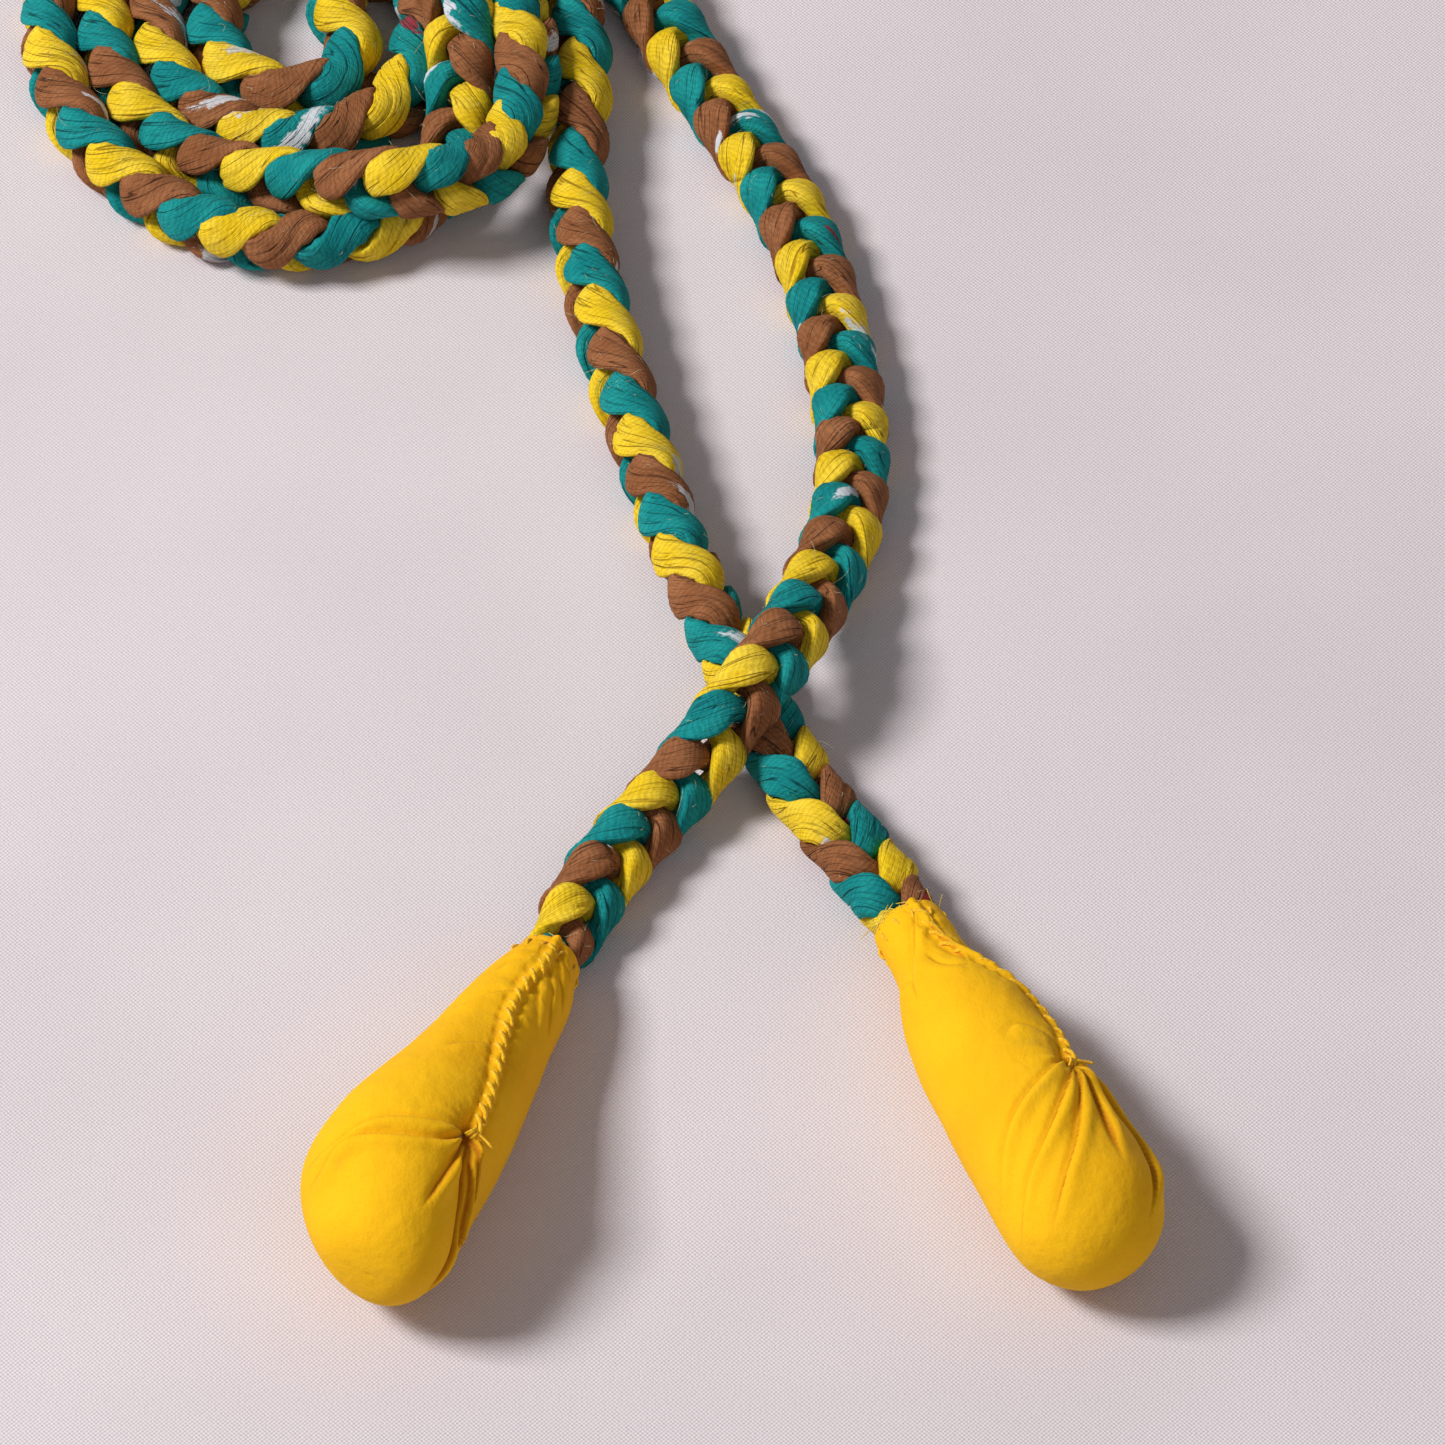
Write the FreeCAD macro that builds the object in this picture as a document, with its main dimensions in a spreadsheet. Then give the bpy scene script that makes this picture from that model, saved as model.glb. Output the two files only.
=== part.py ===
# Jump rope of three plaited cloth strands with two stuffed cloth handles, lying coiled on a table.
# Millimetres, +Z up, the table top is z = 0. The origin is the middle of the flat that the left
# handle's bulb rests on; both handles point towards -Y and the coil lies at +Y.
import FreeCAD, Part
import math
import os

import Sketcher
from FreeCAD import Placement, Rotation, Vector

# ---------------------------------------------------------------- driving dimensions
DIMENSIONS = {
    "strand_radius": 2.3,        # one twisted strip of cloth
    "plait_half_width": 6.2,     # how far a strand swings sideways
    "plait_half_depth": 4.0,     # how far it swings up and down
    "plait_lean": 1.5,           # how far a crossing leans along the rope
    "tail_scale": 0.71,          # the plait is squeezed where a handle is sewn round it
    "tail_ramp": 20.0,           # length over which it opens to its full width
    "tail_length": 38.0,         # plait hidden inside a handle
    "bend_gap": 0.8,             # slit between two rope pieces at a lifting bend
    "swing_gap": 3.6,            # slit at a sideways bend
    "coil_gap": 0.3,             # slit between two lengths of the resting coil
    "cover_wall": 1.2,           # cloth of a handle, doubled
    "clearance": 0.35,           # between two pieces that lie against each other
    "hem_length": 4.6,
    "hem_wall": 1.6,
    "stuffing_start": 18.0,
    "stuffing_bore": 8.2,
    "stuffing_bore_depth": 44.0,
    "whipping_radius": 7.7,
    "whipping_wall": 0.9,
    "whipping_length": 6.0,
    "whipping_depth": 24.0,
    "thread_radius": 0.45,
    "stitch_length": 3.4,
    "knot_radius": 1.8,
    "left_neck_radius": 8.2,
    "left_shoulder_radius": 15.8,
    "left_shoulder_place": 48.0,
    "left_bulb_radius": 22.5,
    "left_bulb_place": 89.0,
    "right_neck_radius": 8.8,
    "right_shoulder_radius": 16.6,
    "right_shoulder_place": 46.0,
    "right_bulb_radius": 19.3,
    "right_bulb_place": 102.0,
}

COLOURS = ("yellow", "teal", "brown")

# Where the rope lies: x, y, height of its middle, roll of the flat plait in degrees (0 lies flat,
# 90 stands on edge) and the number of full plait turns counted from the left end.
LEFT_END = [
    (21, 46, 14, -40, -0.33), (37, 80, 8.5, -40, 0.68), (50, 106, 8.7, -40, 1.38),
]
LEFT_LEG_OVER_THE_RIGHT = [
    (68.5, 130.5, 12, -40, 2.21), (80, 143.5, 21.1, -40, 2.66), (90, 157.5, 24.4, -40, 3.12),
    (99, 181, 17, -35, 3.74),
]
LEFT_LEG = [
    (107, 208, 9.4, -20, 4.34), (110, 241, 7.8, -10, 5.27), (106, 276, 6.8, 0, 6.24),
    (94, 321, 6.6, 0, 7.39), (74, 361, 6.8, 0, 8.49), (51, 407.5, 8.5, 40, 9.68),
]
OUTER_TURN = [
    (17, 450, 8.7, 80, 10.93), (-31, 461, 8.7, 90, 12.18), (-77, 445, 8.7, 90, 13.4),
    (-102, 394, 8.7, 90, 14.61), (-97, 359, 8.9, 90, 15.44), (-72, 323, 9, 80, 16.47),
    (-39, 308, 9.2, 60, 17.5), (-11, 316, 8, 20, 18.31), (5, 336, 7.5, 10, 18.99),
]
RAISED_TURN = [
    (8, 360, 17.5, 30, 19.67), (5, 384, 27.5, 40, 20.35), (-11, 409.5, 26, 60, 21.01),
    (-35, 418, 17, 90, 21.69),
]
INNER_TURN = [
    (-53, 401, 9, 90, 22.26), (-58, 382, 9, 90, 22.73), (-50, 364, 9.4, 90, 23.24),
    (-36, 358, 9.4, 90, 23.58), (-23, 365, 9.2, 90, 23.92), (-22, 380, 9.2, 90, 24.26),
]
MIDDLE_BIGHT = [
    (-26, 394.5, 9, 90, 24.61), (-15, 405.5, 8.7, 90, 24.96), (-3, 395.5, 8.7, 90, 25.31),
    (-3, 378.5, 8.7, 90, 25.72), (-8, 359, 8.7, 90, 26.17),
]
SECOND_TURN_BACK = [
    (-25, 344.5, 8.7, 90, 26.69), (-42, 343, 8.7, 90, 27.17), (-63, 356, 8.7, 90, 27.88),
    (-73, 380, 8.7, 90, 28.52), (-67, 411, 8.7, 90, 29.16), (-36, 434, 8.9, 90, 30.07),
    (-1.4, 422.3, 11.7, 55, 30.83),
]
THIRD_TURN_BACK = [
    (22, 381.5, 20.1, 54, 31.88), (26, 355, 21.2, 60, 32.61), (19, 328, 19.4, 67, 33.41),
    (-6.7, 313, 26.4, 72, 34.34), (-37.8, 324.5, 14.1, 92, 35.16), (-63.4, 336, 9.1, 63, 35.86),
    (-83, 364, 8.8, 90, 36.67), (-87, 396, 8.7, 90, 37.49), (-69, 434, 8.7, 90, 38.34),
    (-31, 447, 8.7, 90, 39.37), (7, 437, 8.7, 90, 40.36), (32, 406, 8.7, 90, 41.27),
]
RIGHT_LEG = [
    (40, 368, 8.7, 95, 42.11), (39, 333, 8.7, 100, 42.84), (45, 284, 9.1, 105, 44.05),
    (56, 240, 8.8, 95, 45.07), (67, 202, 9.2, 75, 46.09), (81, 166.5, 8.6, 40, 47.08),
]
RIGHT_END = [
    (96, 131.5, 7.6, 15, 48.03), (114, 102, 7.8, 0, 48.83), (121, 88, 9.1, 0, 49.26),
    (136.3, 53.3, 12.7, 0, 50.3),
]
WAYPOINTS = (
    LEFT_END + LEFT_LEG_OVER_THE_RIGHT + LEFT_LEG + OUTER_TURN + RAISED_TURN + INNER_TURN
    + MIDDLE_BIGHT + SECOND_TURN_BACK + THIRD_TURN_BACK + RIGHT_LEG + RIGHT_END
)

# Handles: the mouth's middle, the bulb's middle, the angles round the handle's axis at which the
# seam starts and ends (0 is straight up, positive to the right) and the place where it ends, in
# the gather.
LEFT_MOUTH = Vector(37, 80, 8.5)
LEFT_BULB = Vector(0, 0, 21.5)
LEFT_SEAM_ANGLES = (8, 44)
LEFT_GATHER_PLACE = 78
RIGHT_MOUTH = Vector(121, 88, 9.1)
RIGHT_BULB = Vector(162, -5, 18.8)
RIGHT_SEAM_ANGLES = (35, 55)
RIGHT_GATHER_PLACE = 68
STITCH_COUNT = 14
MOUTH_STITCH_COUNT = 8
MOUTH_STITCH_SPREAD = 130        # degrees either way from straight up

# Distances along the rope, from the left end, at which the rope bends as it is picked up. The last
# two are counted back from the right end.
NECK_BEND = 43.4
LEFT_SWING_BEND = 80
ARCH_BEND = 178
MIDDLE_BEND = 273
COIL_BEND = 368
RIGHT_SWING_BEND = 90
COIL_LENGTHS = 16
SECTION_STEP = 3.2               # between two rings of a strand
END_RING_INSETS = (0.4, 1.2)     # extra rings that keep a strand's skin from bulging at its ends
RING_POINTS = 8
TABLE_BLOCK = 400                # side of the block that stands for the table

doc = FreeCAD.newDocument("jump_rope")


# ---------------------------------------------------------------- the sheet of dimensions
def add_sheet():
    sheet = doc.addObject("Spreadsheet::Sheet", "Dimensions")
    for row, (alias, value) in enumerate(DIMENSIONS.items(), start=1):
        sheet.set(f"A{row}", alias.replace("_", " "))
        sheet.set(f"B{row}", str(value))
        sheet.setAlias(f"B{row}", alias)
    doc.recompute()
    return sheet


sheet = add_sheet()


def size(alias):
    return float(sheet.get(alias))


# ---------------------------------------------------------------- the rope's middle line
def natural_spline(knots, values):
    """Returns the natural cubic spline through the values as a function of the knot parameter."""
    last = len(knots) - 1
    widths = [knots[i + 1] - knots[i] for i in range(last)]
    upper = [0.0] * (last + 1)
    right = [0.0] * (last + 1)
    for i in range(1, last):
        bend = (values[i + 1] - values[i]) / widths[i] - (values[i] - values[i - 1]) / widths[i - 1]
        pivot = 2 * (widths[i - 1] + widths[i]) - widths[i - 1] * upper[i - 1]
        upper[i] = widths[i] / pivot
        right[i] = (6 * bend - widths[i - 1] * right[i - 1]) / pivot
    second = [0.0] * (last + 1)
    for i in range(last - 1, 0, -1):
        second[i] = right[i] - upper[i] * second[i + 1]

    def at(place):
        i = 0
        while i < last - 1 and place > knots[i + 1]:
            i += 1
        before = knots[i + 1] - place
        after = place - knots[i]
        width = widths[i]
        curve = (second[i] * before ** 3 + second[i + 1] * after ** 3) / (6 * width)
        start = (values[i] / width - second[i] * width / 6) * before
        end = (values[i + 1] / width - second[i + 1] * width / 6) * after
        return curve + start + end

    return at


def rope_knots():
    knots = [0.0]
    for here, there in zip(WAYPOINTS, WAYPOINTS[1:]):
        knots.append(knots[-1] + math.dist(here[:3], there[:3]))
    return knots


KNOTS = rope_knots()
ROPE_LENGTH = KNOTS[-1]
X_AT, Y_AT, Z_AT, ROLL_AT, TURNS_AT = [
    natural_spline(KNOTS, [point[i] for point in WAYPOINTS]) for i in range(5)
]


def middle(place):
    return Vector(X_AT(place), Y_AT(place), Z_AT(place))


def heading(place):
    return (middle(place + 0.1) - middle(place - 0.1)).normalize()


def squeeze(place):
    """Width of the plait relative to its full width: it narrows towards both handles."""
    from_end = min(place, ROPE_LENGTH - place) - size("tail_length") - size("hem_length")
    along = min(1.0, max(0.0, from_end / size("tail_ramp")))
    return size("tail_scale") + (1 - size("tail_scale")) * along * along * (3 - 2 * along)


def strand_point(place, strand):
    """Middle of one strand of the flat plait: a figure of eight that travels along the rope."""
    forward = heading(place)
    side = forward.cross(Vector(0, 0, 1)).normalize()
    up = side.cross(forward)
    roll = math.radians(ROLL_AT(place))
    across = side * math.cos(roll) + up * math.sin(roll)
    out = up * math.cos(roll) - side * math.sin(roll)
    phase = 2 * math.pi * (TURNS_AT(place) + strand / 3)
    swing = across * (size("plait_half_width") * math.sin(phase))
    lift = out * (size("plait_half_depth") * math.sin(2 * phase))
    lean = forward * (size("plait_lean") * math.sin(2 * phase))
    return middle(place) + (swing - lift - lean) * squeeze(place)


# ---------------------------------------------------------------- strands
def strand_ring(place, strand, ring_x):
    """Points round a strand, square to it and closed, and the ring's first direction."""
    ahead = strand_point(place + 0.1, strand)
    behind = strand_point(place - 0.1, strand)
    forward = (ahead - behind).normalize()
    ring_x = (ring_x - forward * ring_x.dot(forward)).normalize()
    ring_y = forward.cross(ring_x)
    radius = size("strand_radius") * squeeze(place)
    points = []
    for i in range(RING_POINTS + 1):
        angle = 2 * math.pi * (i % RING_POINTS) / RING_POINTS
        spoke = ring_x * math.cos(angle) + ring_y * math.sin(angle)
        points.append(strand_point(place, strand) + spoke * radius)
    return points, ring_x


def ring_places(start, end):
    count = max(4, round((end - start) / SECTION_STEP))
    even = [start + (end - start) * i / count for i in range(count + 1)]
    near_start = [start + inset for inset in END_RING_INSETS]
    near_end = [end - inset for inset in reversed(END_RING_INSETS)]
    return even[:1] + near_start + even[1:-1] + near_end + even[-1:]


def strand_solid(strand, start, end):
    """A round strand: one smooth skin through rings that stand square to it, and two flat ends."""
    rings = []
    ring_x = Vector(0, 0, 1)
    for place in ring_places(start, end):
        ring, ring_x = strand_ring(place, strand, ring_x)
        rings.append(ring)
    skin = Part.BSplineSurface()
    skin.interpolate(rings)
    faces = [skin.toShape()]
    first, last = skin.bounds()[:2]
    for edge_place in (first, last):
        faces.append(Part.Face(Part.Wire([skin.uIso(edge_place).toShape()])))
    shell = Part.makeShell(faces)
    shell.sewShape()
    solid = Part.Solid(shell)
    if solid.Volume < 0:
        solid.reverse()
    return solid


def add_rope_piece(name, start, end, gap_start, gap_end, lengths=1):
    """The three strands of one piece of rope, each a node made of one or more end-to-end lengths."""
    first = start + gap_start / 2
    whole = end - gap_end / 2 - first
    for strand, colour in enumerate(COLOURS):
        solids = []
        for i in range(lengths):
            low = first + whole * i / lengths
            high = first + whole * (i + 1) / lengths
            if i < lengths - 1:
                high -= size("coil_gap")
            solids.append(strand_solid(strand, low, high))
        piece = doc.addObject("Part::Feature", f"{name}_{colour}_strand")
        piece.Shape = solids[0] if lengths == 1 else Part.makeCompound(solids)
        NODES.append(piece)


# ---------------------------------------------------------------- handles
def origin_plane(body, role):
    for feature in body.Origin.OriginFeatures:
        if feature.Role == role:
            return feature
    raise ValueError(role)


def attached_sketch(body, name):
    sketch = body.newObject("Sketcher::SketchObject", name)
    sketch.AttachmentSupport = (origin_plane(body, "XZ_Plane"), [""])
    sketch.MapMode = "FlatFace"
    return sketch


def bind(sketch, constraint, name, expression):
    index = sketch.addConstraint(constraint)
    sketch.renameConstraint(index, name)
    sketch.setExpression(f"Constraints.{name}", expression)


def club_sketch(body, name, side, inset):
    """Half outline of a handle, from its mouth on the axis round to the end of its round bulb."""
    def inset_size(alias):
        return size(alias) - sum(size(part) for part in inset)

    less = "".join(f" - Dimensions.{part}" for part in inset)
    neck = inset_size(f"{side}_neck_radius")
    shoulder = inset_size(f"{side}_shoulder_radius")
    shoulder_at = size(f"{side}_shoulder_place")
    bulb = inset_size(f"{side}_bulb_radius")
    bulb_at = size(f"{side}_bulb_place")
    reach = math.hypot(shoulder, bulb_at - shoulder_at)
    to_shoulder = math.atan2(shoulder_at - bulb_at, shoulder)
    touch = to_shoulder + math.acos(bulb / reach)
    touch_point = Vector(bulb * math.cos(touch), bulb_at + bulb * math.sin(touch), 0)

    sketch = attached_sketch(body, name)
    corners = [Vector(0, 0, 0), Vector(neck, 0, 0), Vector(shoulder, shoulder_at, 0), touch_point]
    for here, there in zip(corners, corners[1:]):
        sketch.addGeometry(Part.LineSegment(here, there), False)
    circle = Part.Circle(Vector(0, bulb_at, 0), Vector(0, 0, 1), bulb)
    sketch.addGeometry(Part.ArcOfCircle(circle, touch, math.pi / 2), False)
    sketch.addGeometry(Part.LineSegment(Vector(0, bulb_at + bulb, 0), corners[0]), False)
    mouth, flank, side_line, arc, axis = range(5)
    join = Sketcher.Constraint
    sketch.addConstraint(join("Coincident", mouth, 1, -1, 1))
    sketch.addConstraint(join("Coincident", mouth, 2, flank, 1))
    sketch.addConstraint(join("Coincident", flank, 2, side_line, 1))
    sketch.addConstraint(join("Tangent", side_line, 2, arc, 1))
    sketch.addConstraint(join("Coincident", arc, 2, axis, 1))
    sketch.addConstraint(join("Coincident", axis, 2, mouth, 1))
    sketch.addConstraint(join("Horizontal", mouth))
    sketch.addConstraint(join("Vertical", axis))
    sketch.addConstraint(join("PointOnObject", arc, 3, -2))
    bind(sketch, join("DistanceX", -1, 1, mouth, 2, neck), "neck", f"Dimensions.{side}_neck_radius{less}")
    bind(sketch, join("DistanceX", -1, 1, flank, 2, shoulder), "shoulder",
         f"Dimensions.{side}_shoulder_radius{less}")
    bind(sketch, join("DistanceY", -1, 1, flank, 2, shoulder_at), "shoulder_at",
         f"Dimensions.{side}_shoulder_place")
    bind(sketch, join("Radius", arc, bulb), "bulb", f"Dimensions.{side}_bulb_radius{less}")
    bind(sketch, join("DistanceY", -1, 1, arc, 3, bulb_at), "bulb_at", f"Dimensions.{side}_bulb_place")
    return sketch


def stepped_sketch(body, name, steps):
    """Outline of a round cut or ring from (radius expression, place expression) corners."""
    sketch = attached_sketch(body, name)
    corners = []
    for radius, place in steps:
        corners.append(Vector(value_of(radius), value_of(place), 0))
    count = len(corners)
    for i in range(count):
        sketch.addGeometry(Part.LineSegment(corners[i], corners[(i + 1) % count]), False)
    for i in range(count):
        sketch.addConstraint(Sketcher.Constraint("Coincident", i, 2, (i + 1) % count, 1))
    for i, (radius, place) in enumerate(steps):
        across = Sketcher.Constraint("DistanceX", -1, 1, i, 1, corners[i].x)
        along = Sketcher.Constraint("DistanceY", -1, 1, i, 1, corners[i].y)
        bind(sketch, across, f"radius_{i}", radius)
        bind(sketch, along, f"place_{i}", place)
    return sketch


def value_of(expression):
    """Value of a sum or difference of sheet cells and plain numbers."""
    total = 0.0
    sign = 1
    for word in expression.split():
        if word in "+-":
            sign = 1 if word == "+" else -1
        elif word.startswith("Dimensions."):
            total += sign * size(word.removeprefix("Dimensions."))
        else:
            total += sign * float(word)
    return total


def turned(body, kind, sketch):
    """Revolves a sketch round the body's own upright axis, as added or removed material."""
    feature = body.newObject(f"PartDesign::{kind}", f"{sketch.Name}_{kind}")
    feature.Profile = sketch
    feature.ReferenceAxis = (sketch, ["V_Axis"])
    feature.Angle = 360
    body.Tip = feature
    return feature


def handle_placement(mouth, bulb):
    return Placement(mouth, Rotation(Vector(0, 0, 1), bulb - mouth))


def new_body(name, placement):
    body = doc.addObject("PartDesign::Body", name)
    body.Label = name
    body.Placement = placement
    return body


def add_table(name, placement, *heights):
    """A block whose top face is the table top, or lies above it by the sum of some sheet cells."""
    table = doc.addObject("Part::Box", name)
    table.Length = table.Width = TABLE_BLOCK
    table.Height = TABLE_BLOCK / 10
    corner = Vector(placement.Base.x - TABLE_BLOCK / 2, placement.Base.y - TABLE_BLOCK / 2, 0)
    corner.z = sum(size(alias) for alias in heights) - TABLE_BLOCK / 10
    table.Placement = Placement(corner, Rotation())
    return table


def add_cut(name, base, tool):
    cut = doc.addObject("Part::Cut", name)
    cut.Base = base
    cut.Tool = tool
    return cut


def add_cover(side, placement):
    """Cloth bag of a handle, open at the mouth and pressed flat where it lies on the table."""
    outside = new_body(f"{side}_cover_outside", placement)
    turned(outside, "Revolution", club_sketch(outside, f"{side}_outside_outline", side, []))
    cavity = new_body(f"{side}_cover_cavity", placement)
    turned(cavity, "Revolution", club_sketch(cavity, f"{side}_cavity_outline", side, ["cover_wall"]))
    table = add_table(f"{side}_table", placement)
    raised_table = add_table(f"{side}_raised_table", placement, "cover_wall")
    pressed = add_cut(f"{side}_cover_pressed", outside, table)
    hollow = add_cut(f"{side}_cavity_pressed", cavity, raised_table)
    NODES.append(add_cut(f"{side}_handle_cover", pressed, hollow))


def add_stuffing(side, placement):
    """Rag filling of a handle, bored for the tail of the plait and its whipping."""
    body = new_body(f"{side}_stuffing_club", placement)
    inset = ["cover_wall", "clearance"]
    turned(body, "Revolution", club_sketch(body, f"{side}_stuffing_outline", side, inset))
    doc.recompute()
    unbored = body.Shape.Volume
    bore = stepped_sketch(body, f"{side}_stuffing_bore_outline", [
        ("0", "-1"),
        ("40", "-1"),
        ("40", "Dimensions.stuffing_start"),
        ("Dimensions.stuffing_bore", "Dimensions.stuffing_start"),
        ("Dimensions.stuffing_bore", "Dimensions.stuffing_bore_depth"),
        ("0", "Dimensions.stuffing_bore_depth"),
    ])
    turned(body, "Groove", bore)
    doc.recompute()
    if body.Shape.Volume > unbored - 1000:
        raise RuntimeError(f"{side} stuffing was not bored")
    table = add_table(f"{side}_stuffing_table", placement, *inset)
    NODES.append(add_cut(f"{side}_handle_stuffing", body, table))


def add_ring(name, placement, inner, outer, low, high):
    body = new_body(name, placement)
    corners = [(inner, low), (outer, low), (outer, high), (inner, high)]
    section = stepped_sketch(body, f"{name}_section", corners)
    turned(body, "Revolution", section)
    NODES.append(body)


def club_radius(side, place):
    """Outside radius of a handle at a distance from its mouth, ahead of the bulb."""
    neck = size(f"{side}_neck_radius")
    shoulder = size(f"{side}_shoulder_radius")
    shoulder_at = size(f"{side}_shoulder_place")
    bulb = size(f"{side}_bulb_radius")
    bulb_at = size(f"{side}_bulb_place")
    if place < shoulder_at:
        return neck + (shoulder - neck) * place / shoulder_at
    reach = math.hypot(shoulder, bulb_at - shoulder_at)
    touch = math.atan2(shoulder_at - bulb_at, shoulder) + math.acos(bulb / reach)
    touch_at = bulb_at + bulb * math.sin(touch)
    touch_radius = bulb * math.cos(touch)
    if place < touch_at:
        return shoulder + (touch_radius - shoulder) * (place - shoulder_at) / (touch_at - shoulder_at)
    return math.sqrt(bulb ** 2 - (place - bulb_at) ** 2)


def handle_frame(mouth, bulb, angle):
    """Forward, outward and sideways directions of a line along a handle at an angle round it."""
    forward = (bulb - mouth).normalize()
    left = Vector(0, 0, 1).cross(forward).normalize()
    up = forward.cross(left)
    turn = math.radians(angle)
    outward = up * math.cos(turn) + left * math.sin(turn)
    sideways = left * math.cos(turn) - up * math.sin(turn)
    return forward, outward, sideways


def thread(name, middle_point, direction):
    """One short stitch: a round thread lying on the cloth."""
    stitch = doc.addObject("Part::Cylinder", name)
    stitch.setExpression("Radius", "Dimensions.thread_radius")
    stitch.setExpression("Height", "Dimensions.stitch_length")
    start = middle_point - direction * (size("stitch_length") / 2)
    stitch.Placement = Placement(start, Rotation(Vector(0, 0, 1), direction))
    return stitch


def add_group(name, members):
    group = doc.addObject("Part::Compound", name)
    group.Links = members
    NODES.append(group)


def add_seam_stitches(side, mouth, bulb, angles, gather_place):
    """Slanted whip stitches from the mouth to the gather, each clear of the cloth under it."""
    first, last = 6.0, gather_place - 7.0
    slant = math.radians(35)
    stitches = []
    for i in range(STITCH_COUNT):
        place = first + (last - first) * i / (STITCH_COUNT - 1)
        angle = angles[0] + (angles[1] - angles[0]) * place / gather_place
        forward, outward, sideways = handle_frame(mouth, bulb, angle)
        along = forward * math.sin(slant) + sideways * math.cos(slant)
        widest = club_radius(side, place + size("stitch_length") / 2 * math.sin(slant))
        height = widest + size("clearance") + size("thread_radius")
        point = mouth + forward * place + outward * height
        stitches.append(thread(f"{side}_seam_stitch_{i}", point, along))
    add_group(f"{side}_seam_stitches", stitches)


def add_mouth_stitches(side, mouth, bulb):
    """Short stitches that hold the hem, lying along the handle round its upper side."""
    height = size(f"{side}_neck_radius") + 2 * size("clearance") + size("thread_radius")
    stitches = []
    for i in range(MOUTH_STITCH_COUNT):
        angle = -MOUTH_STITCH_SPREAD + 2 * MOUTH_STITCH_SPREAD * i / (MOUTH_STITCH_COUNT - 1)
        forward, outward, _ = handle_frame(mouth, bulb, angle)
        point = mouth + outward * height - forward * size("clearance")
        stitches.append(thread(f"{side}_mouth_stitch_{i}", point, forward))
    add_group(f"{side}_mouth_stitches", stitches)


def add_gather_knot(side, mouth, bulb, angle, place):
    """Knot of thread that pulls the end of the bag together, on the outside of the cloth."""
    forward, outward, _ = handle_frame(mouth, bulb, angle)
    knot = doc.addObject("Part::Sphere", f"{side}_gather_knot")
    knot.setExpression("Radius", "Dimensions.knot_radius")
    height = club_radius(side, place + size("knot_radius")) + size("clearance") + size("knot_radius")
    knot.Placement = Placement(mouth + forward * place + outward * height, Rotation())
    NODES.append(knot)


def add_handle(side, mouth, bulb, seam_angles, gather_place):
    placement = handle_placement(mouth, bulb)
    neck = f"Dimensions.{side}_neck_radius"
    add_cover(side, placement)
    add_stuffing(side, placement)
    add_ring(f"{side}_mouth_hem", placement, f"{neck} - Dimensions.hem_wall", neck,
             "0 - Dimensions.hem_length", "0 - Dimensions.clearance")
    add_ring(f"{side}_tail_whipping", placement,
             "Dimensions.whipping_radius - Dimensions.whipping_wall", "Dimensions.whipping_radius",
             "Dimensions.whipping_depth", "Dimensions.whipping_depth + Dimensions.whipping_length")
    add_seam_stitches(side, mouth, bulb, seam_angles, gather_place)
    add_mouth_stitches(side, mouth, bulb)
    add_gather_knot(side, mouth, bulb, seam_angles[1], gather_place)


NODES = []
bend = size("bend_gap")
swing = size("swing_gap")
right_swing = ROPE_LENGTH - RIGHT_SWING_BEND
right_neck = ROPE_LENGTH - NECK_BEND
add_rope_piece("left_tail", 0, NECK_BEND, 0, bend)
add_rope_piece("left_leg_end", NECK_BEND, LEFT_SWING_BEND, bend, swing)
add_rope_piece("left_leg_arch", LEFT_SWING_BEND, ARCH_BEND, swing, bend)
add_rope_piece("left_leg_middle", ARCH_BEND, MIDDLE_BEND, bend, bend)
add_rope_piece("left_leg_upper", MIDDLE_BEND, COIL_BEND, bend, bend)
add_rope_piece("coil", COIL_BEND, right_swing, bend, swing, COIL_LENGTHS)
add_rope_piece("right_leg_end", right_swing, right_neck, swing, bend)
add_rope_piece("right_tail", right_neck, ROPE_LENGTH, bend, 0)
add_handle("left", LEFT_MOUTH, LEFT_BULB, LEFT_SEAM_ANGLES, LEFT_GATHER_PLACE)
add_handle("right", RIGHT_MOUTH, RIGHT_BULB, RIGHT_SEAM_ANGLES, RIGHT_GATHER_PLACE)
doc.recompute()


def check_and_write():
    for thing in doc.Objects:
        if "Invalid" in thing.State or "Error" in thing.State:
            raise RuntimeError(f"{thing.Name} failed: {thing.State}")
    for node in NODES:
        node.Label = node.Name
        if node.Shape.isNull() or not node.Shape.isValid() or not node.Shape.Solids:
            raise RuntimeError(f"{node.Label} has no valid solid")
    os.makedirs("parts", exist_ok=True)
    for node in NODES:
        node.Shape.exportStep(f"parts/{node.Label}.step")
        print(node.Label, len(node.Shape.Solids), "solids", round(node.Shape.Volume), "mm3")


check_and_write()
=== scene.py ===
import math

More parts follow.
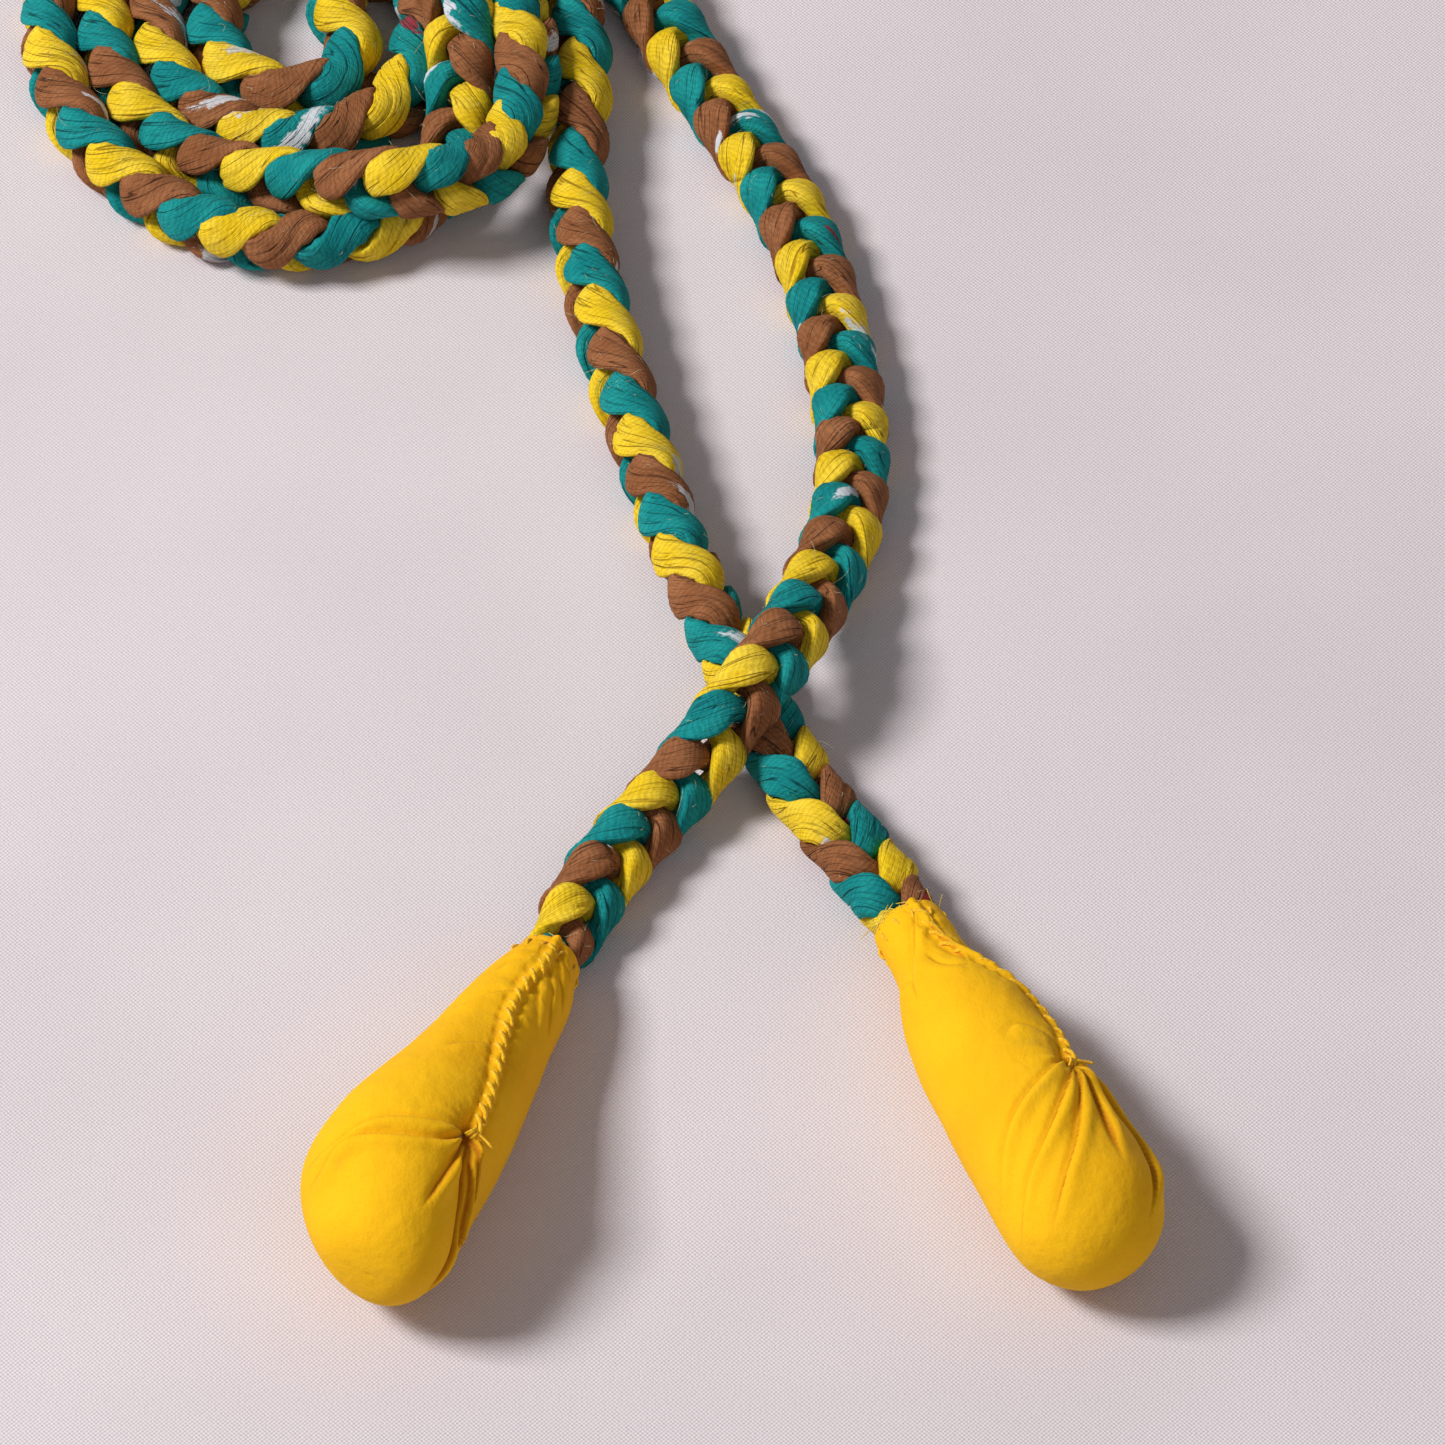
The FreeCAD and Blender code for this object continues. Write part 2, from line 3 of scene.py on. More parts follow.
import bpy
import numpy as np
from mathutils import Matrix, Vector


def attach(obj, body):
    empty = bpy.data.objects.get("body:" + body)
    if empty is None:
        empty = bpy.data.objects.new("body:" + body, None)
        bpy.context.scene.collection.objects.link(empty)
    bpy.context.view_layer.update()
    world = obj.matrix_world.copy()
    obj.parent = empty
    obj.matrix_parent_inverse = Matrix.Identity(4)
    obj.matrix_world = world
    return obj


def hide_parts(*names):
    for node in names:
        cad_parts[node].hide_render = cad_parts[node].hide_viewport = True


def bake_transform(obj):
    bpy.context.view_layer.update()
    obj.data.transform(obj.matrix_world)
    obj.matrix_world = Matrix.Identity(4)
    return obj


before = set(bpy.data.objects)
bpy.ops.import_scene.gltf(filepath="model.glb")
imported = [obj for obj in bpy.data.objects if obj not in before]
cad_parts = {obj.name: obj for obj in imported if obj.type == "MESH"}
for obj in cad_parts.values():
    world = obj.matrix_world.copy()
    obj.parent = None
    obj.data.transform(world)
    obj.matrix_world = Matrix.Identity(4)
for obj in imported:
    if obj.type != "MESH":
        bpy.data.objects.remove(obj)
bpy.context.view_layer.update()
MM = 0.001

# ---------------------------------------- where the rope lies
# x, y, height of the rope's middle, roll of the flat plait in degrees, plait turns from the left end
WAYPOINTS = [
    # left end, inside the handle and out of its mouth
    (21, 46, 14, -40, -0.33), (37, 80, 8.5, -40, 0.68), (50, 106, 8.7, -40, 1.38),
    # left leg, over the right leg
    (68.5, 130.5, 12, -40, 2.21), (80, 143.5, 21.1, -40, 2.66), (90, 157.5, 24.4, -40, 3.12),
    (99, 181, 17, -35, 3.74),
    # left leg
    (107, 208, 9.4, -20, 4.34), (110, 241, 7.8, -10, 5.27), (106, 276, 6.8, 0, 6.24),
    (94, 321, 6.6, 0, 7.39), (74, 361, 6.8, 0, 8.49), (51, 407.5, 8.5, 40, 9.68),
    # outer turn of the coil
    (17, 450, 8.7, 80, 10.93), (-31, 461, 8.7, 90, 12.18), (-77, 445, 8.7, 90, 13.4),
    (-102, 394, 8.7, 90, 14.61), (-97, 359, 8.9, 90, 15.44), (-72, 323, 9, 80, 16.47),
    (-39, 308, 9.2, 60, 17.5), (-11, 316, 8, 20, 18.31), (5, 336, 7.5, 10, 18.99),
    # turn that climbs over the others
    (8, 360, 17.5, 30, 19.67), (5, 384, 27.5, 40, 20.35), (-11, 409.5, 26, 60, 21.01),
    (-35, 418, 17, 90, 21.69),
    # inner turn
    (-53, 401, 9, 90, 22.26), (-58, 382, 9, 90, 22.73), (-50, 364, 9.4, 90, 23.24),
    (-36, 358, 9.4, 90, 23.58), (-23, 365, 9.2, 90, 23.92), (-22, 380, 9.2, 90, 24.26),
    # bight in the middle
    (-26, 394.5, 9, 90, 24.61), (-15, 405.5, 8.7, 90, 24.96), (-3, 395.5, 8.7, 90, 25.31),
    (-3, 378.5, 8.7, 90, 25.72), (-8, 359, 8.7, 90, 26.17),
    # second turn, back the other way
    (-25, 344.5, 8.7, 90, 26.69), (-42, 343, 8.7, 90, 27.17), (-63, 356, 8.7, 90, 27.88),
    (-73, 380, 8.7, 90, 28.52), (-67, 411, 8.7, 90, 29.16), (-36, 434, 8.9, 90, 30.07),
    (-1.4, 422.3, 11.7, 55, 30.83),
    # third turn, back the other way
    (22, 381.5, 20.1, 54, 31.88), (26, 355, 21.2, 60, 32.61), (19, 328, 19.4, 67, 33.41),
    (-6.7, 313, 26.4, 72, 34.34), (-37.8, 324.5, 14.1, 92, 35.16), (-63.4, 336, 9.1, 63, 35.86),
    (-83, 364, 8.8, 90, 36.67), (-87, 396, 8.7, 90, 37.49), (-69, 434, 8.7, 90, 38.34),
    (-31, 447, 8.7, 90, 39.37), (7, 437, 8.7, 90, 40.36), (32, 406, 8.7, 90, 41.27),
    # right leg
    (40, 368, 8.7, 95, 42.11), (39, 333, 8.7, 100, 42.84), (45, 284, 9.1, 105, 44.05),
    (56, 240, 8.8, 95, 45.07), (67, 202, 9.2, 75, 46.09), (81, 166.5, 8.6, 40, 47.08),
    # right end, into the mouth of the handle
    (96, 131.5, 7.6, 15, 48.03), (114, 102, 7.8, 0, 48.83), (121, 88, 9.1, 0, 49.26),
    (136.3, 53.3, 12.7, 0, 50.3),
]
STRANDS = ("yellow", "teal", "brown")
HALF_WIDTH = 6.2                # how far a strand swings sideways
HALF_DEPTH = 4.0                # how far it swings up and down
LEAN = 1.5                      # how far it leans along the rope
PITCH = 41.0                    # one full turn of the plait, on average
TAIL_SCALE = 0.71
TAIL_END = 34.0                 # plait inside a handle
TAIL_RAMP = 13.0
THIN_LOBE = 3.0                 # half thickness of a lobe where it faces out
WIDE_LOBE = 6.4                 # half width of a lobe along the rope
INNER_LOBE = 5.0                # reach towards the middle of the plait
GAP = 0.12                      # half the space between two strands
PRESSED_FLATNESS = 12           # how square the edges of a pressed lobe are
NEIGHBOUR_REACH = 26            # how far along a neighbour can still press on a strand
RING_STEP = 1.1
RING_POINTS = 48
CREASE_DEPTH = 0.62
CREASE_WIDTH = 0.17
PRESSED_HEIGHT = 0.6            # cloth below this height is pressed flat on the table

# Where the rope bends, as distances along it, and half the length of rope that takes part in a bend
BENDS = {"left_neck": 43.4, "left_swing": 80, "arch": 178, "middle": 273, "coil": 368,
         "right_swing": -90, "right_neck": -43.4}
BEND_REACH = {"left_neck": 10, "left_swing": 14, "arch": 24, "middle": 24, "coil": 24,
              "right_swing": 14, "right_neck": 10}


def spline(knots, values):
    """Natural cubic spline through the values, as a function of an array of places."""
    knots = np.array(knots, float)
    values = np.array(values, float)
    widths = np.diff(knots)
    count = len(knots)
    matrix = np.eye(count)
    right = np.zeros(count)
    for i in range(1, count - 1):
        matrix[i, i - 1:i + 2] = widths[i - 1], 2 * (widths[i - 1] + widths[i]), widths[i]
        ahead = (values[i + 1] - values[i]) / widths[i]
        behind = (values[i] - values[i - 1]) / widths[i - 1]
        right[i] = 6 * (ahead - behind)
    second = np.linalg.solve(matrix, right)

    def at(places):
        i = np.clip(np.searchsorted(knots, places) - 1, 0, count - 2)
        before = knots[i + 1] - places
        after = places - knots[i]
        width = widths[i]
        curve = (second[i] * before ** 3 + second[i + 1] * after ** 3) / (6 * width)
        start = (values[i] / width - second[i] * width / 6) * before
        end = (values[i + 1] / width - second[i + 1] * width / 6) * after
        return curve + start + end

    return at


# Places along the rope are summed straight from waypoint to waypoint, about 1 percent short of its arc.
POINTS = np.array(WAYPOINTS, float)
KNOTS = np.concatenate([[0], np.cumsum(np.linalg.norm(np.diff(POINTS[:, :3], axis=0), axis=1))])
ROPE_LENGTH = float(KNOTS[-1])
X_AT, Y_AT, Z_AT, ROLL_AT, TURNS_AT = [spline(KNOTS, POINTS[:, i]) for i in range(5)]


def unit(vectors):
    return vectors / np.linalg.norm(vectors, axis=-1, keepdims=True)


def smoothstep(values):
    values = np.clip(values, 0, 1)
    return values * values * (3 - 2 * values)


def middle(places):
    return np.stack([X_AT(places), Y_AT(places), Z_AT(places)], axis=-1)


def rope_axes(places):
    """Directions across the flat plait and out of its flat face."""
    forward = unit(middle(places + 0.1) - middle(places - 0.1))
    side = unit(np.cross(forward, [0, 0, 1]))
    up = np.cross(side, forward)
    roll = np.radians(ROLL_AT(places))[:, None]
    across = side * np.cos(roll) + up * np.sin(roll)
    out = up * np.cos(roll) - side * np.sin(roll)
    return forward, across, out


def squeeze(places):
    from_end = np.minimum(places, ROPE_LENGTH - places) - TAIL_END
    return TAIL_SCALE + (1 - TAIL_SCALE) * smoothstep(from_end / TAIL_RAMP)


def phase_at(places, strand):
    return 2 * math.pi * (TURNS_AT(places) + strand / 3)


def strand_points(places, strand):
    forward, across, out = rope_axes(places)
    phase = phase_at(places, strand)[:, None]
    swing = across * HALF_WIDTH * np.sin(phase)
    lift = out * HALF_DEPTH * np.sin(2 * phase)
    lean = forward * LEAN * np.sin(2 * phase)
    return middle(places) + (swing - lift - lean) * squeeze(places)[:, None]


# ---------------------------------------- how three strands press together
def straight_strand(phase, along):
    """Middle of a strand of a straight plait; across, out and forward of the rope's own axes."""
    return np.stack([
        HALF_WIDTH * np.sin(phase),
        -HALF_DEPTH * np.sin(2 * phase),
        along - LEAN * np.sin(2 * phase),
    ], axis=-1)


def facing(phase):
    """Direction out of the plait at a strand, without its sign, in (across, out)."""
    width = HALF_WIDTH + THIN_LOBE
    depth = HALF_DEPTH + THIN_LOBE
    return np.stack([np.full_like(phase, HALF_WIDTH / width ** 2),
                     -2 * HALF_DEPTH * np.cos(phase) / depth ** 2], axis=-1)


def lobe_table(phase_count=144):
    """Radius of a strand for each phase and angle: a flat oval that stops at its neighbours."""
    phases = np.linspace(0, 2 * math.pi, phase_count, endpoint=False)
    angles = np.linspace(0, 2 * math.pi, RING_POINTS, endpoint=False)
    step = np.linspace(-NEIGHBOUR_REACH, NEIGHBOUR_REACH, 131)
    table = np.zeros((phase_count, RING_POINTS))
    for row, phase in enumerate(phases):
        here = straight_strand(np.array([phase - 0.01, phase, phase + 0.01]),
                               np.array([-0.01, 0, 0.01]) * PITCH / (2 * math.pi))
        forward = unit(here[2] - here[0])
        face = np.append(facing(np.array([phase]))[0], 0)
        face = unit(face - forward * face.dot(forward))
        side = np.cross(forward, face)
        rays = np.cos(angles)[:, None] * face + np.sin(angles)[:, None] * side
        limit = np.full(RING_POINTS, 9.0)
        for other in (1, 2):
            there = straight_strand(phase + 2 * math.pi * (other / 3 + step / PITCH), step)
            away = there - here[1]
            towards = rays @ away.T
            reach = (away ** 2).sum(axis=1) / (2 * np.maximum(towards, 1e-3))
            limit = np.minimum(limit, reach.min(axis=1))
        lean_out = np.clip(1.5 * math.sin(phase), -1, 1)
        mean = (THIN_LOBE + INNER_LOBE) / 2
        change = (INNER_LOBE - THIN_LOBE) / 2
        reach_out = np.where(np.cos(angles) > 0, mean - change * lean_out, mean + change * lean_out)
        oval = 1 / np.hypot(np.cos(angles) / reach_out, np.sin(angles) / WIDE_LOBE)
        power = -PRESSED_FLATNESS
        table[row] = (oval ** power + (limit - GAP) ** power) ** (1 / power)
    return table


LOBES = lobe_table()


def lobe_radius(phases):
    """Rows of the lobe table at any phases, with straight-line steps between rows."""
    rows = np.mod(phases / (2 * math.pi), 1) * len(LOBES)
    low = np.floor(rows).astype(int)
    share = (rows - low)[:, None]
    return LOBES[low % len(LOBES)] * (1 - share) + LOBES[(low + 1) % len(LOBES)] * share


def noise(seed, along, around, length, cells):
    """Smooth noise from -1 to 1 over (mm along, turns around), with whole cells round a strand."""
    random = np.random.default_rng(seed)
    across = np.mod(around, 1) * cells
    along = along / length
    rows = int(along.max()) + 3
    grid = random.uniform(-1, 1, (rows, cells))
    i = np.floor(along).astype(int)
    j = np.floor(across).astype(int)
    u = smoothstep(along - i)
    v = smoothstep(across - j)
    j, j_next = j % cells, (j + 1) % cells
    low = grid[i, j] * (1 - v) + grid[i, j_next] * v
    high = grid[i + 1, j] * (1 - v) + grid[i + 1, j_next] * v
    return low * (1 - u) + high * u


# ---------------------------------------- strand surfaces
def strand_rings(places, strand):
    """Ring points of one strand and, for each, its angle in turns and mm along the strand."""
    centre = strand_points(places, strand)
    forward = unit(strand_points(places + 0.15, strand) - strand_points(places - 0.15, strand))
    _, across, out = rope_axes(places)
    phase = phase_at(places, strand)
    face = facing(phase)
    face = across * face[:, :1] + out * face[:, 1:]
    face = unit(face - forward * (face * forward).sum(axis=1, keepdims=True))
    side = np.cross(forward, face)
    turns = np.linspace(0, 1, RING_POINTS, endpoint=False)
    angles = turns * 2 * math.pi
    along = np.broadcast_to(places[:, None], (len(places), RING_POINTS))
    around = np.broadcast_to(turns[None, :], along.shape)
    radius = lobe_radius(phase) * squeeze(places)[:, None]
    lumps = 0.06 * noise(11 + strand, along, around, 11, 3) + 0.04 * noise(21 + strand, along, around, 5, 6)
    radius *= 1 + lumps
    radius -= crease_depth(strand, along, around)
    rays = face[:, None] * np.cos(angles)[:, None] + side[:, None] * np.sin(angles)[:, None]
    points = centre[:, None, :] + rays * radius[:, :, None]
    return points, along, around


def crease_depth(strand, along, around):
    """Grooves that run along the gathered cloth and come and go."""
    line = 1 - np.abs(noise(31 + strand, along, around, 26, 7)) / CREASE_WIDTH
    present = smoothstep(0.55 + 1.4 * noise(41 + strand, along, around, 14, 4))
    return CREASE_DEPTH * np.clip(line, 0, 1) ** 2 * present


def rest_on_table(points):
    """Presses whatever would sink into the table flat against it."""
    height = points[..., 2]
    pressed = PRESSED_HEIGHT * np.exp((height - PRESSED_HEIGHT) / PRESSED_HEIGHT)
    points[..., 2] = np.where(height < PRESSED_HEIGHT, pressed, height)
    return points


def add_mesh(name, points, faces, material):
    """A smooth piece from points in millimetres."""
    mesh = bpy.data.meshes.new(name)
    mesh.from_pydata((points * MM).tolist(), [], faces)
    mesh.polygons.foreach_set("use_smooth", np.ones(len(mesh.polygons), bool))
    mesh.update()
    thing = bpy.data.objects.new(name, mesh)
    thing.data.materials.append(MATERIALS[material])
    bpy.context.collection.objects.link(thing)
    return thing


def grid_mesh(name, points, material, closed_ends=True):
    """A tube of rings as a mesh with smooth faces."""
    rings, around = points.shape[:2]
    index = np.arange(rings * around).reshape(rings, around)
    here = index[:-1]
    there = index[1:]
    faces = np.stack([here, np.roll(here, -1, axis=1), np.roll(there, -1, axis=1), there], axis=-1)
    faces = [list(map(int, face)) for face in faces.reshape(-1, 4)]
    if closed_ends:
        faces.append([int(i) for i in index[0][::-1]])
        faces.append([int(i) for i in index[-1]])
    return add_mesh(name, points.reshape(-1, 3), faces, material)


def add_vector_attribute(thing, name, values):
    attribute = thing.data.attributes.new(name, "FLOAT_VECTOR", "POINT")
    attribute.data.foreach_set("vector", np.ascontiguousarray(values, np.float32).reshape(-1))


# ---------------------------------------- cloth materials
class Nodes:
    """Short ways to add shader nodes to a material."""

    def __init__(self, name):
        self.material = bpy.data.materials.new(name)
        self.material.use_nodes = True
        self.tree = self.material.node_tree
        self.tree.nodes.clear()

    def add(self, kind, **settings):
        node = self.tree.nodes.new(kind)
        for key, value in settings.items():
            setattr(node, key, value)
        return node

    def link(self, value, socket):
        if isinstance(value, bpy.types.NodeSocket):
            self.tree.links.new(value, socket)
        else:
            socket.default_value = value

    def math(self, operation, *values):
        node = self.add("ShaderNodeMath", operation=operation)
        for i, value in enumerate(values):
            self.link(value, node.inputs[i])
        return node.outputs[0]

    def plus(self, *values):
        return self.math("ADD", *values)

    def minus(self, *values):
        return self.math("SUBTRACT", *values)

    def times(self, *values):
        return self.math("MULTIPLY", *values)

    def vector_math(self, operation, *values):
        node = self.add("ShaderNodeVectorMath", operation=operation)
        for i, value in enumerate(values):
            self.link(value, node.inputs[i])
        return node.outputs[0]

    def combine(self, x, y, z):
        node = self.add("ShaderNodeCombineXYZ")
        for i, value in enumerate((x, y, z)):
            self.link(value, node.inputs[i])
        return node.outputs[0]

    def split(self, vector):
        node = self.add("ShaderNodeSeparateXYZ")
        self.link(vector, node.inputs[0])
        return node.outputs[0], node.outputs[1], node.outputs[2]

    def attribute(self, name):
        return self.add("ShaderNodeAttribute", attribute_name=name).outputs["Vector"]

    def position(self):
        return self.add("ShaderNodeTexCoord").outputs["Object"]

    def noise(self, vector, scale, detail=2.0, roughness=0.5):
        node = self.add("ShaderNodeTexNoise")
        self.link(vector, node.inputs["Vector"])
        node.inputs["Scale"].default_value = scale
        node.inputs["Detail"].default_value = detail
        node.inputs["Roughness"].default_value = roughness
        return node.outputs["Fac"]

    def smooth(self, value, low, high):
        node = self.add("ShaderNodeMapRange", interpolation_type="SMOOTHSTEP")
        self.link(value, node.inputs["Value"])
        node.inputs["From Min"].default_value = low
        node.inputs["From Max"].default_value = high
        return node.outputs["Result"]

    def mix(self, share, low, high):
        node = self.add("ShaderNodeMix", data_type="RGBA")
        self.link(share, node.inputs[0])
        self.link(low, node.inputs[6])
        self.link(high, node.inputs[7])
        return node.outputs[2]

    def bump(self, height, distance, strength):
        node = self.add("ShaderNodeBump")
        node.inputs["Strength"].default_value = strength
        node.inputs["Distance"].default_value = distance
        self.link(height, node.inputs["Height"])
        return node.outputs[0]

    def surface(self, colour, normal, roughness=0.85, sheen=0.25, sheen_tint=(1, 1, 1, 1)):
        shader = self.add("ShaderNodeBsdfPrincipled")
        self.link(colour, shader.inputs["Base Color"])
        self.link(normal, shader.inputs["Normal"])
        self.link(roughness, shader.inputs["Roughness"])
        shader.inputs["Specular IOR Level"].default_value = 0.18
        shader.inputs["Sheen Weight"].default_value = sheen
        shader.inputs["Sheen Roughness"].default_value = 0.45
        shader.inputs["Sheen Tint"].default_value = sheen_tint
        output = self.add("ShaderNodeOutputMaterial")
        self.tree.links.new(shader.outputs[0], output.inputs["Surface"])
        return self.material


def srgb(red, green, blue):
    """Linear colour with alpha from 0-255 display values."""
    linear = []
    for value in (red, green, blue):
        share = value / 255
        linear.append(share / 12.92 if share <= 0.04045 else ((share + 0.055) / 1.055) ** 2.4)
    return (*linear, 1.0)


def strand_cloth(name, colour, dark, worn):
    """Gathered printed cotton: fine yarns across the strand, creases along it with painted shade, print
    marks.
    """
    n = Nodes(name)
    cos_around, sin_around, along = n.split(n.attribute("strand_place"))
    white, crimson, orange = n.split(n.attribute("print_marks"))
    turn = n.math("DIVIDE", n.math("ARCTAN2", sin_around, cos_around), 2 * math.pi)

    def stretched(around_scale, along_scale):
        return n.combine(
            n.times(cos_around, around_scale), n.times(sin_around, around_scale), n.times(along, along_scale)
        )

    def yarns(spacing, slant, wobble):
        winding = n.plus(n.math("DIVIDE", along, spacing), n.times(turn, slant))
        return n.math("SINE", n.times(n.plus(winding, wobble), 2 * math.pi))

    # creases: thin lines where a long, stretched noise passes through its middle value
    wide = stretched(1.5, 0.05)
    field = n.noise(wide, 1.0, detail=1.0)
    distance = n.math("ABSOLUTE", n.minus(field, 0.5))
    presence = n.smooth(n.noise(wide, 2.1, detail=0.0), 0.36, 0.6)
    line = n.times(n.minus(1.0, n.smooth(distance, 0.0, 0.02)), presence)
    fine_field = n.math("ABSOLUTE", n.minus(n.noise(stretched(3.2, 0.09), 1.0, detail=1.0), 0.5))
    fine_presence = n.smooth(n.noise(wide, 3.3, detail=0.0), 0.5, 0.62)
    fine_line = n.times(n.minus(1.0, n.smooth(fine_field, 0.0, 0.022)), fine_presence)
    crease = n.math("MAXIMUM", line, n.times(fine_line, 0.55))

    # yarns: fine ridges along the strand, crossed by finer ones, broken up by noise
    wobble = n.times(n.noise(n.position(), 260, detail=2.0), 2.4)
    weft = yarns(0.8, 7, wobble)
    warp = yarns(4.2, 44, wobble)
    grain = n.noise(n.position(), 2400, detail=3.0, roughness=0.75)
    weft = n.times(weft, n.minus(n.noise(n.position(), 330, detail=2.0), 0.12))
    yarn = n.plus(n.times(weft, 0.5), n.times(warp, 0.12))
    yarn = n.plus(yarn, n.times(grain, 1.1))
    fibres = n.noise(stretched(7.5, 0.42), 1.0, detail=3.0, roughness=0.65)

    blotch = n.noise(n.position(), 110, detail=4.0, roughness=0.6)
    base = n.mix(n.smooth(blotch, 0.32, 0.68), colour, worn)
    base = n.mix(n.times(n.smooth(yarn, 0.95, 0.1), 0.38), base, dark)
    base = n.mix(n.times(n.smooth(fibres, 0.5, 0.3), 0.34), base, dark)

    streaks = n.noise(stretched(4.0, 0.22), 1.0, detail=3.0)
    ragged = n.noise(n.position(), 420, detail=3.0, roughness=0.65)
    ragged = n.minus(n.plus(ragged, n.times(streaks, 0.55)), 0.775)
    print_base = base
    inks = ((white, srgb(208, 212, 219)), (crimson, srgb(150, 28, 45)), (orange, srgb(226, 92, 22)))
    for mark, ink in inks:
        cover = n.times(n.smooth(n.plus(mark, ragged), 0.4, 0.6), 0.9)
        print_base = n.mix(cover, print_base, ink)
    # painted shade in the creases: the colour is darkened towards the dark colour along the crease lines
    base = n.mix(n.times(crease, 0.85), print_base, dark)

    relief = n.plus(n.times(yarn, 0.16), n.times(fibres, 0.55))
    height = n.minus(relief, n.times(crease, 0.9))
    normal = n.bump(height, 0.0009, 0.8)
    return n.surface(base, normal, roughness=0.88, sheen=0.22, sheen_tint=worn)


def handle_cloth(name):
    """Plain golden cotton, smooth and closely woven, with faint stuffing lumps and soiled spots."""
    n = Nodes(name)
    place = n.position()
    broad = n.noise(place, 38, detail=3.0)
    base = n.mix(n.smooth(broad, 0.3, 0.72), srgb(243, 186, 15), srgb(236, 175, 11))
    grime = n.smooth(n.noise(place, 70, detail=4.0, roughness=0.6), 0.6, 0.78)
    base = n.mix(n.times(grime, 0.3), base, srgb(186, 150, 48))
    weave = n.noise(place, 1900, detail=2.0, roughness=0.7)
    lumps = n.noise(place, 120, detail=4.0, roughness=0.55)
    folds = n.noise(n.vector_math("MULTIPLY", place, (1.0, 0.35, 1.0)), 260, detail=3.0)
    base = n.mix(n.times(n.smooth(weave, 0.55, 0.3), 0.14), base, srgb(196, 132, 6))
    height = n.plus(n.times(weave, 0.09), n.times(lumps, 1.0))
    height = n.plus(height, n.times(folds, 0.4))
    shade = n.split(n.attribute("fold_shade"))[0]
    base = n.mix(n.times(shade, 0.88), base, srgb(160, 84, 3))
    normal = n.bump(height, 0.0012, 0.6)
    return n.surface(base, normal, roughness=0.88, sheen=0.1, sheen_tint=srgb(255, 220, 90))


def thread_cloth(name, colour, dark):
    """Spun cotton thread: twisted plies and fuzz."""
    n = Nodes(name)
    place = n.position()
    plies = n.noise(place, 1400, detail=2.0, roughness=0.6)
    base = n.mix(n.smooth(plies, 0.35, 0.65), dark, colour)
    return n.surface(base, n.bump(plies, 0.0004, 0.8), roughness=0.85, sheen=0.2)


def table_cloth(name):
    """Pale backdrop fabric with a fine even weave."""
    n = Nodes(name)
    x, y, _ = n.split(n.position())
    wobble = n.times(n.noise(n.position(), 300, detail=2.0), 0.9)
    warp = n.math("SINE", n.plus(n.times(x, 2 * math.pi / 0.0011), wobble))
    weft = n.math("SINE", n.plus(n.times(y, 2 * math.pi / 0.0011), wobble))
    weave = n.times(warp, weft)
    broad = n.noise(n.position(), 9, detail=2.0)
    base = n.mix(n.smooth(broad, 0.3, 0.7), srgb(222, 214, 219), srgb(216, 208, 213))
    base = n.mix(n.times(n.smooth(weave, 0.3, -0.7), 0.3), base, srgb(158, 148, 156))
    slub = n.noise(n.position(), 1500, detail=2.0)
    height = n.plus(n.times(weave, 0.25), n.times(slub, 0.5))
    return n.surface(base, n.bump(height, 0.0004, 0.7), roughness=0.9, sheen=0.05)


MATERIALS = {
    "yellow": strand_cloth("yellow_cloth", srgb(240, 203, 24), srgb(150, 105, 10), srgb(246, 214, 62)),
    "teal": strand_cloth("teal_cloth", srgb(6, 132, 134), srgb(2, 48, 58), srgb(26, 152, 150)),
    "brown": strand_cloth("brown_cloth", srgb(142, 88, 52), srgb(52, 26, 16), srgb(164, 108, 70)),
    "handle": handle_cloth("handle_cloth"),
    "rag": thread_cloth("rag_filling", srgb(222, 214, 196), srgb(180, 168, 148)),
    "thread": thread_cloth("sewing_thread", srgb(248, 200, 40), srgb(222, 166, 18)),
    "lint": thread_cloth("lint", srgb(214, 206, 168), srgb(150, 158, 130)),
    "fray": thread_cloth("frayed_cloth", srgb(240, 214, 84), srgb(206, 166, 34)),
    "table": table_cloth("table_cloth"),
}


# ---------------------------------------- threads
def tube_rings(line, radius, sides=8):
    """Rings of a round thread along a line, tapering a little at both ends."""
    ahead = unit(np.gradient(line, axis=0))
    across = unit(np.cross(ahead, [0.31, 0.23, 0.92]))
    out = np.cross(ahead, across)
    angles = np.linspace(0, 2 * math.pi, sides, endpoint=False)[None, :, None]
    spokes = across[:, None] * np.cos(angles) + out[:, None] * np.sin(angles)
    taper = np.ones(len(line))
    taper[0] = taper[-1] = 0.55
    return line[:, None] + spokes * (radius * taper)[:, None, None]


def add_threads(name, lines, radius, material, sides=8):
    """Many threads as one piece."""
    points = []
    faces = []
    used = 0
    for line in lines:
        rings = tube_rings(np.asarray(line), radius, sides)
        index = np.arange(rings.shape[0] * sides).reshape(-1, sides) + used
        used += index.size
        here, there = index[:-1], index[1:]
        quads = np.stack([here, np.roll(here, -1, axis=1), np.roll(there, -1, axis=1), there], axis=-1)
        faces.extend(quads.reshape(-1, 4).tolist())
        faces.append(index[0][::-1].tolist())
        faces.append(index[-1].tolist())
        points.append(rest_on_table(rings.reshape(-1, 3)))
    return add_mesh(name, np.concatenate(points), faces, material)


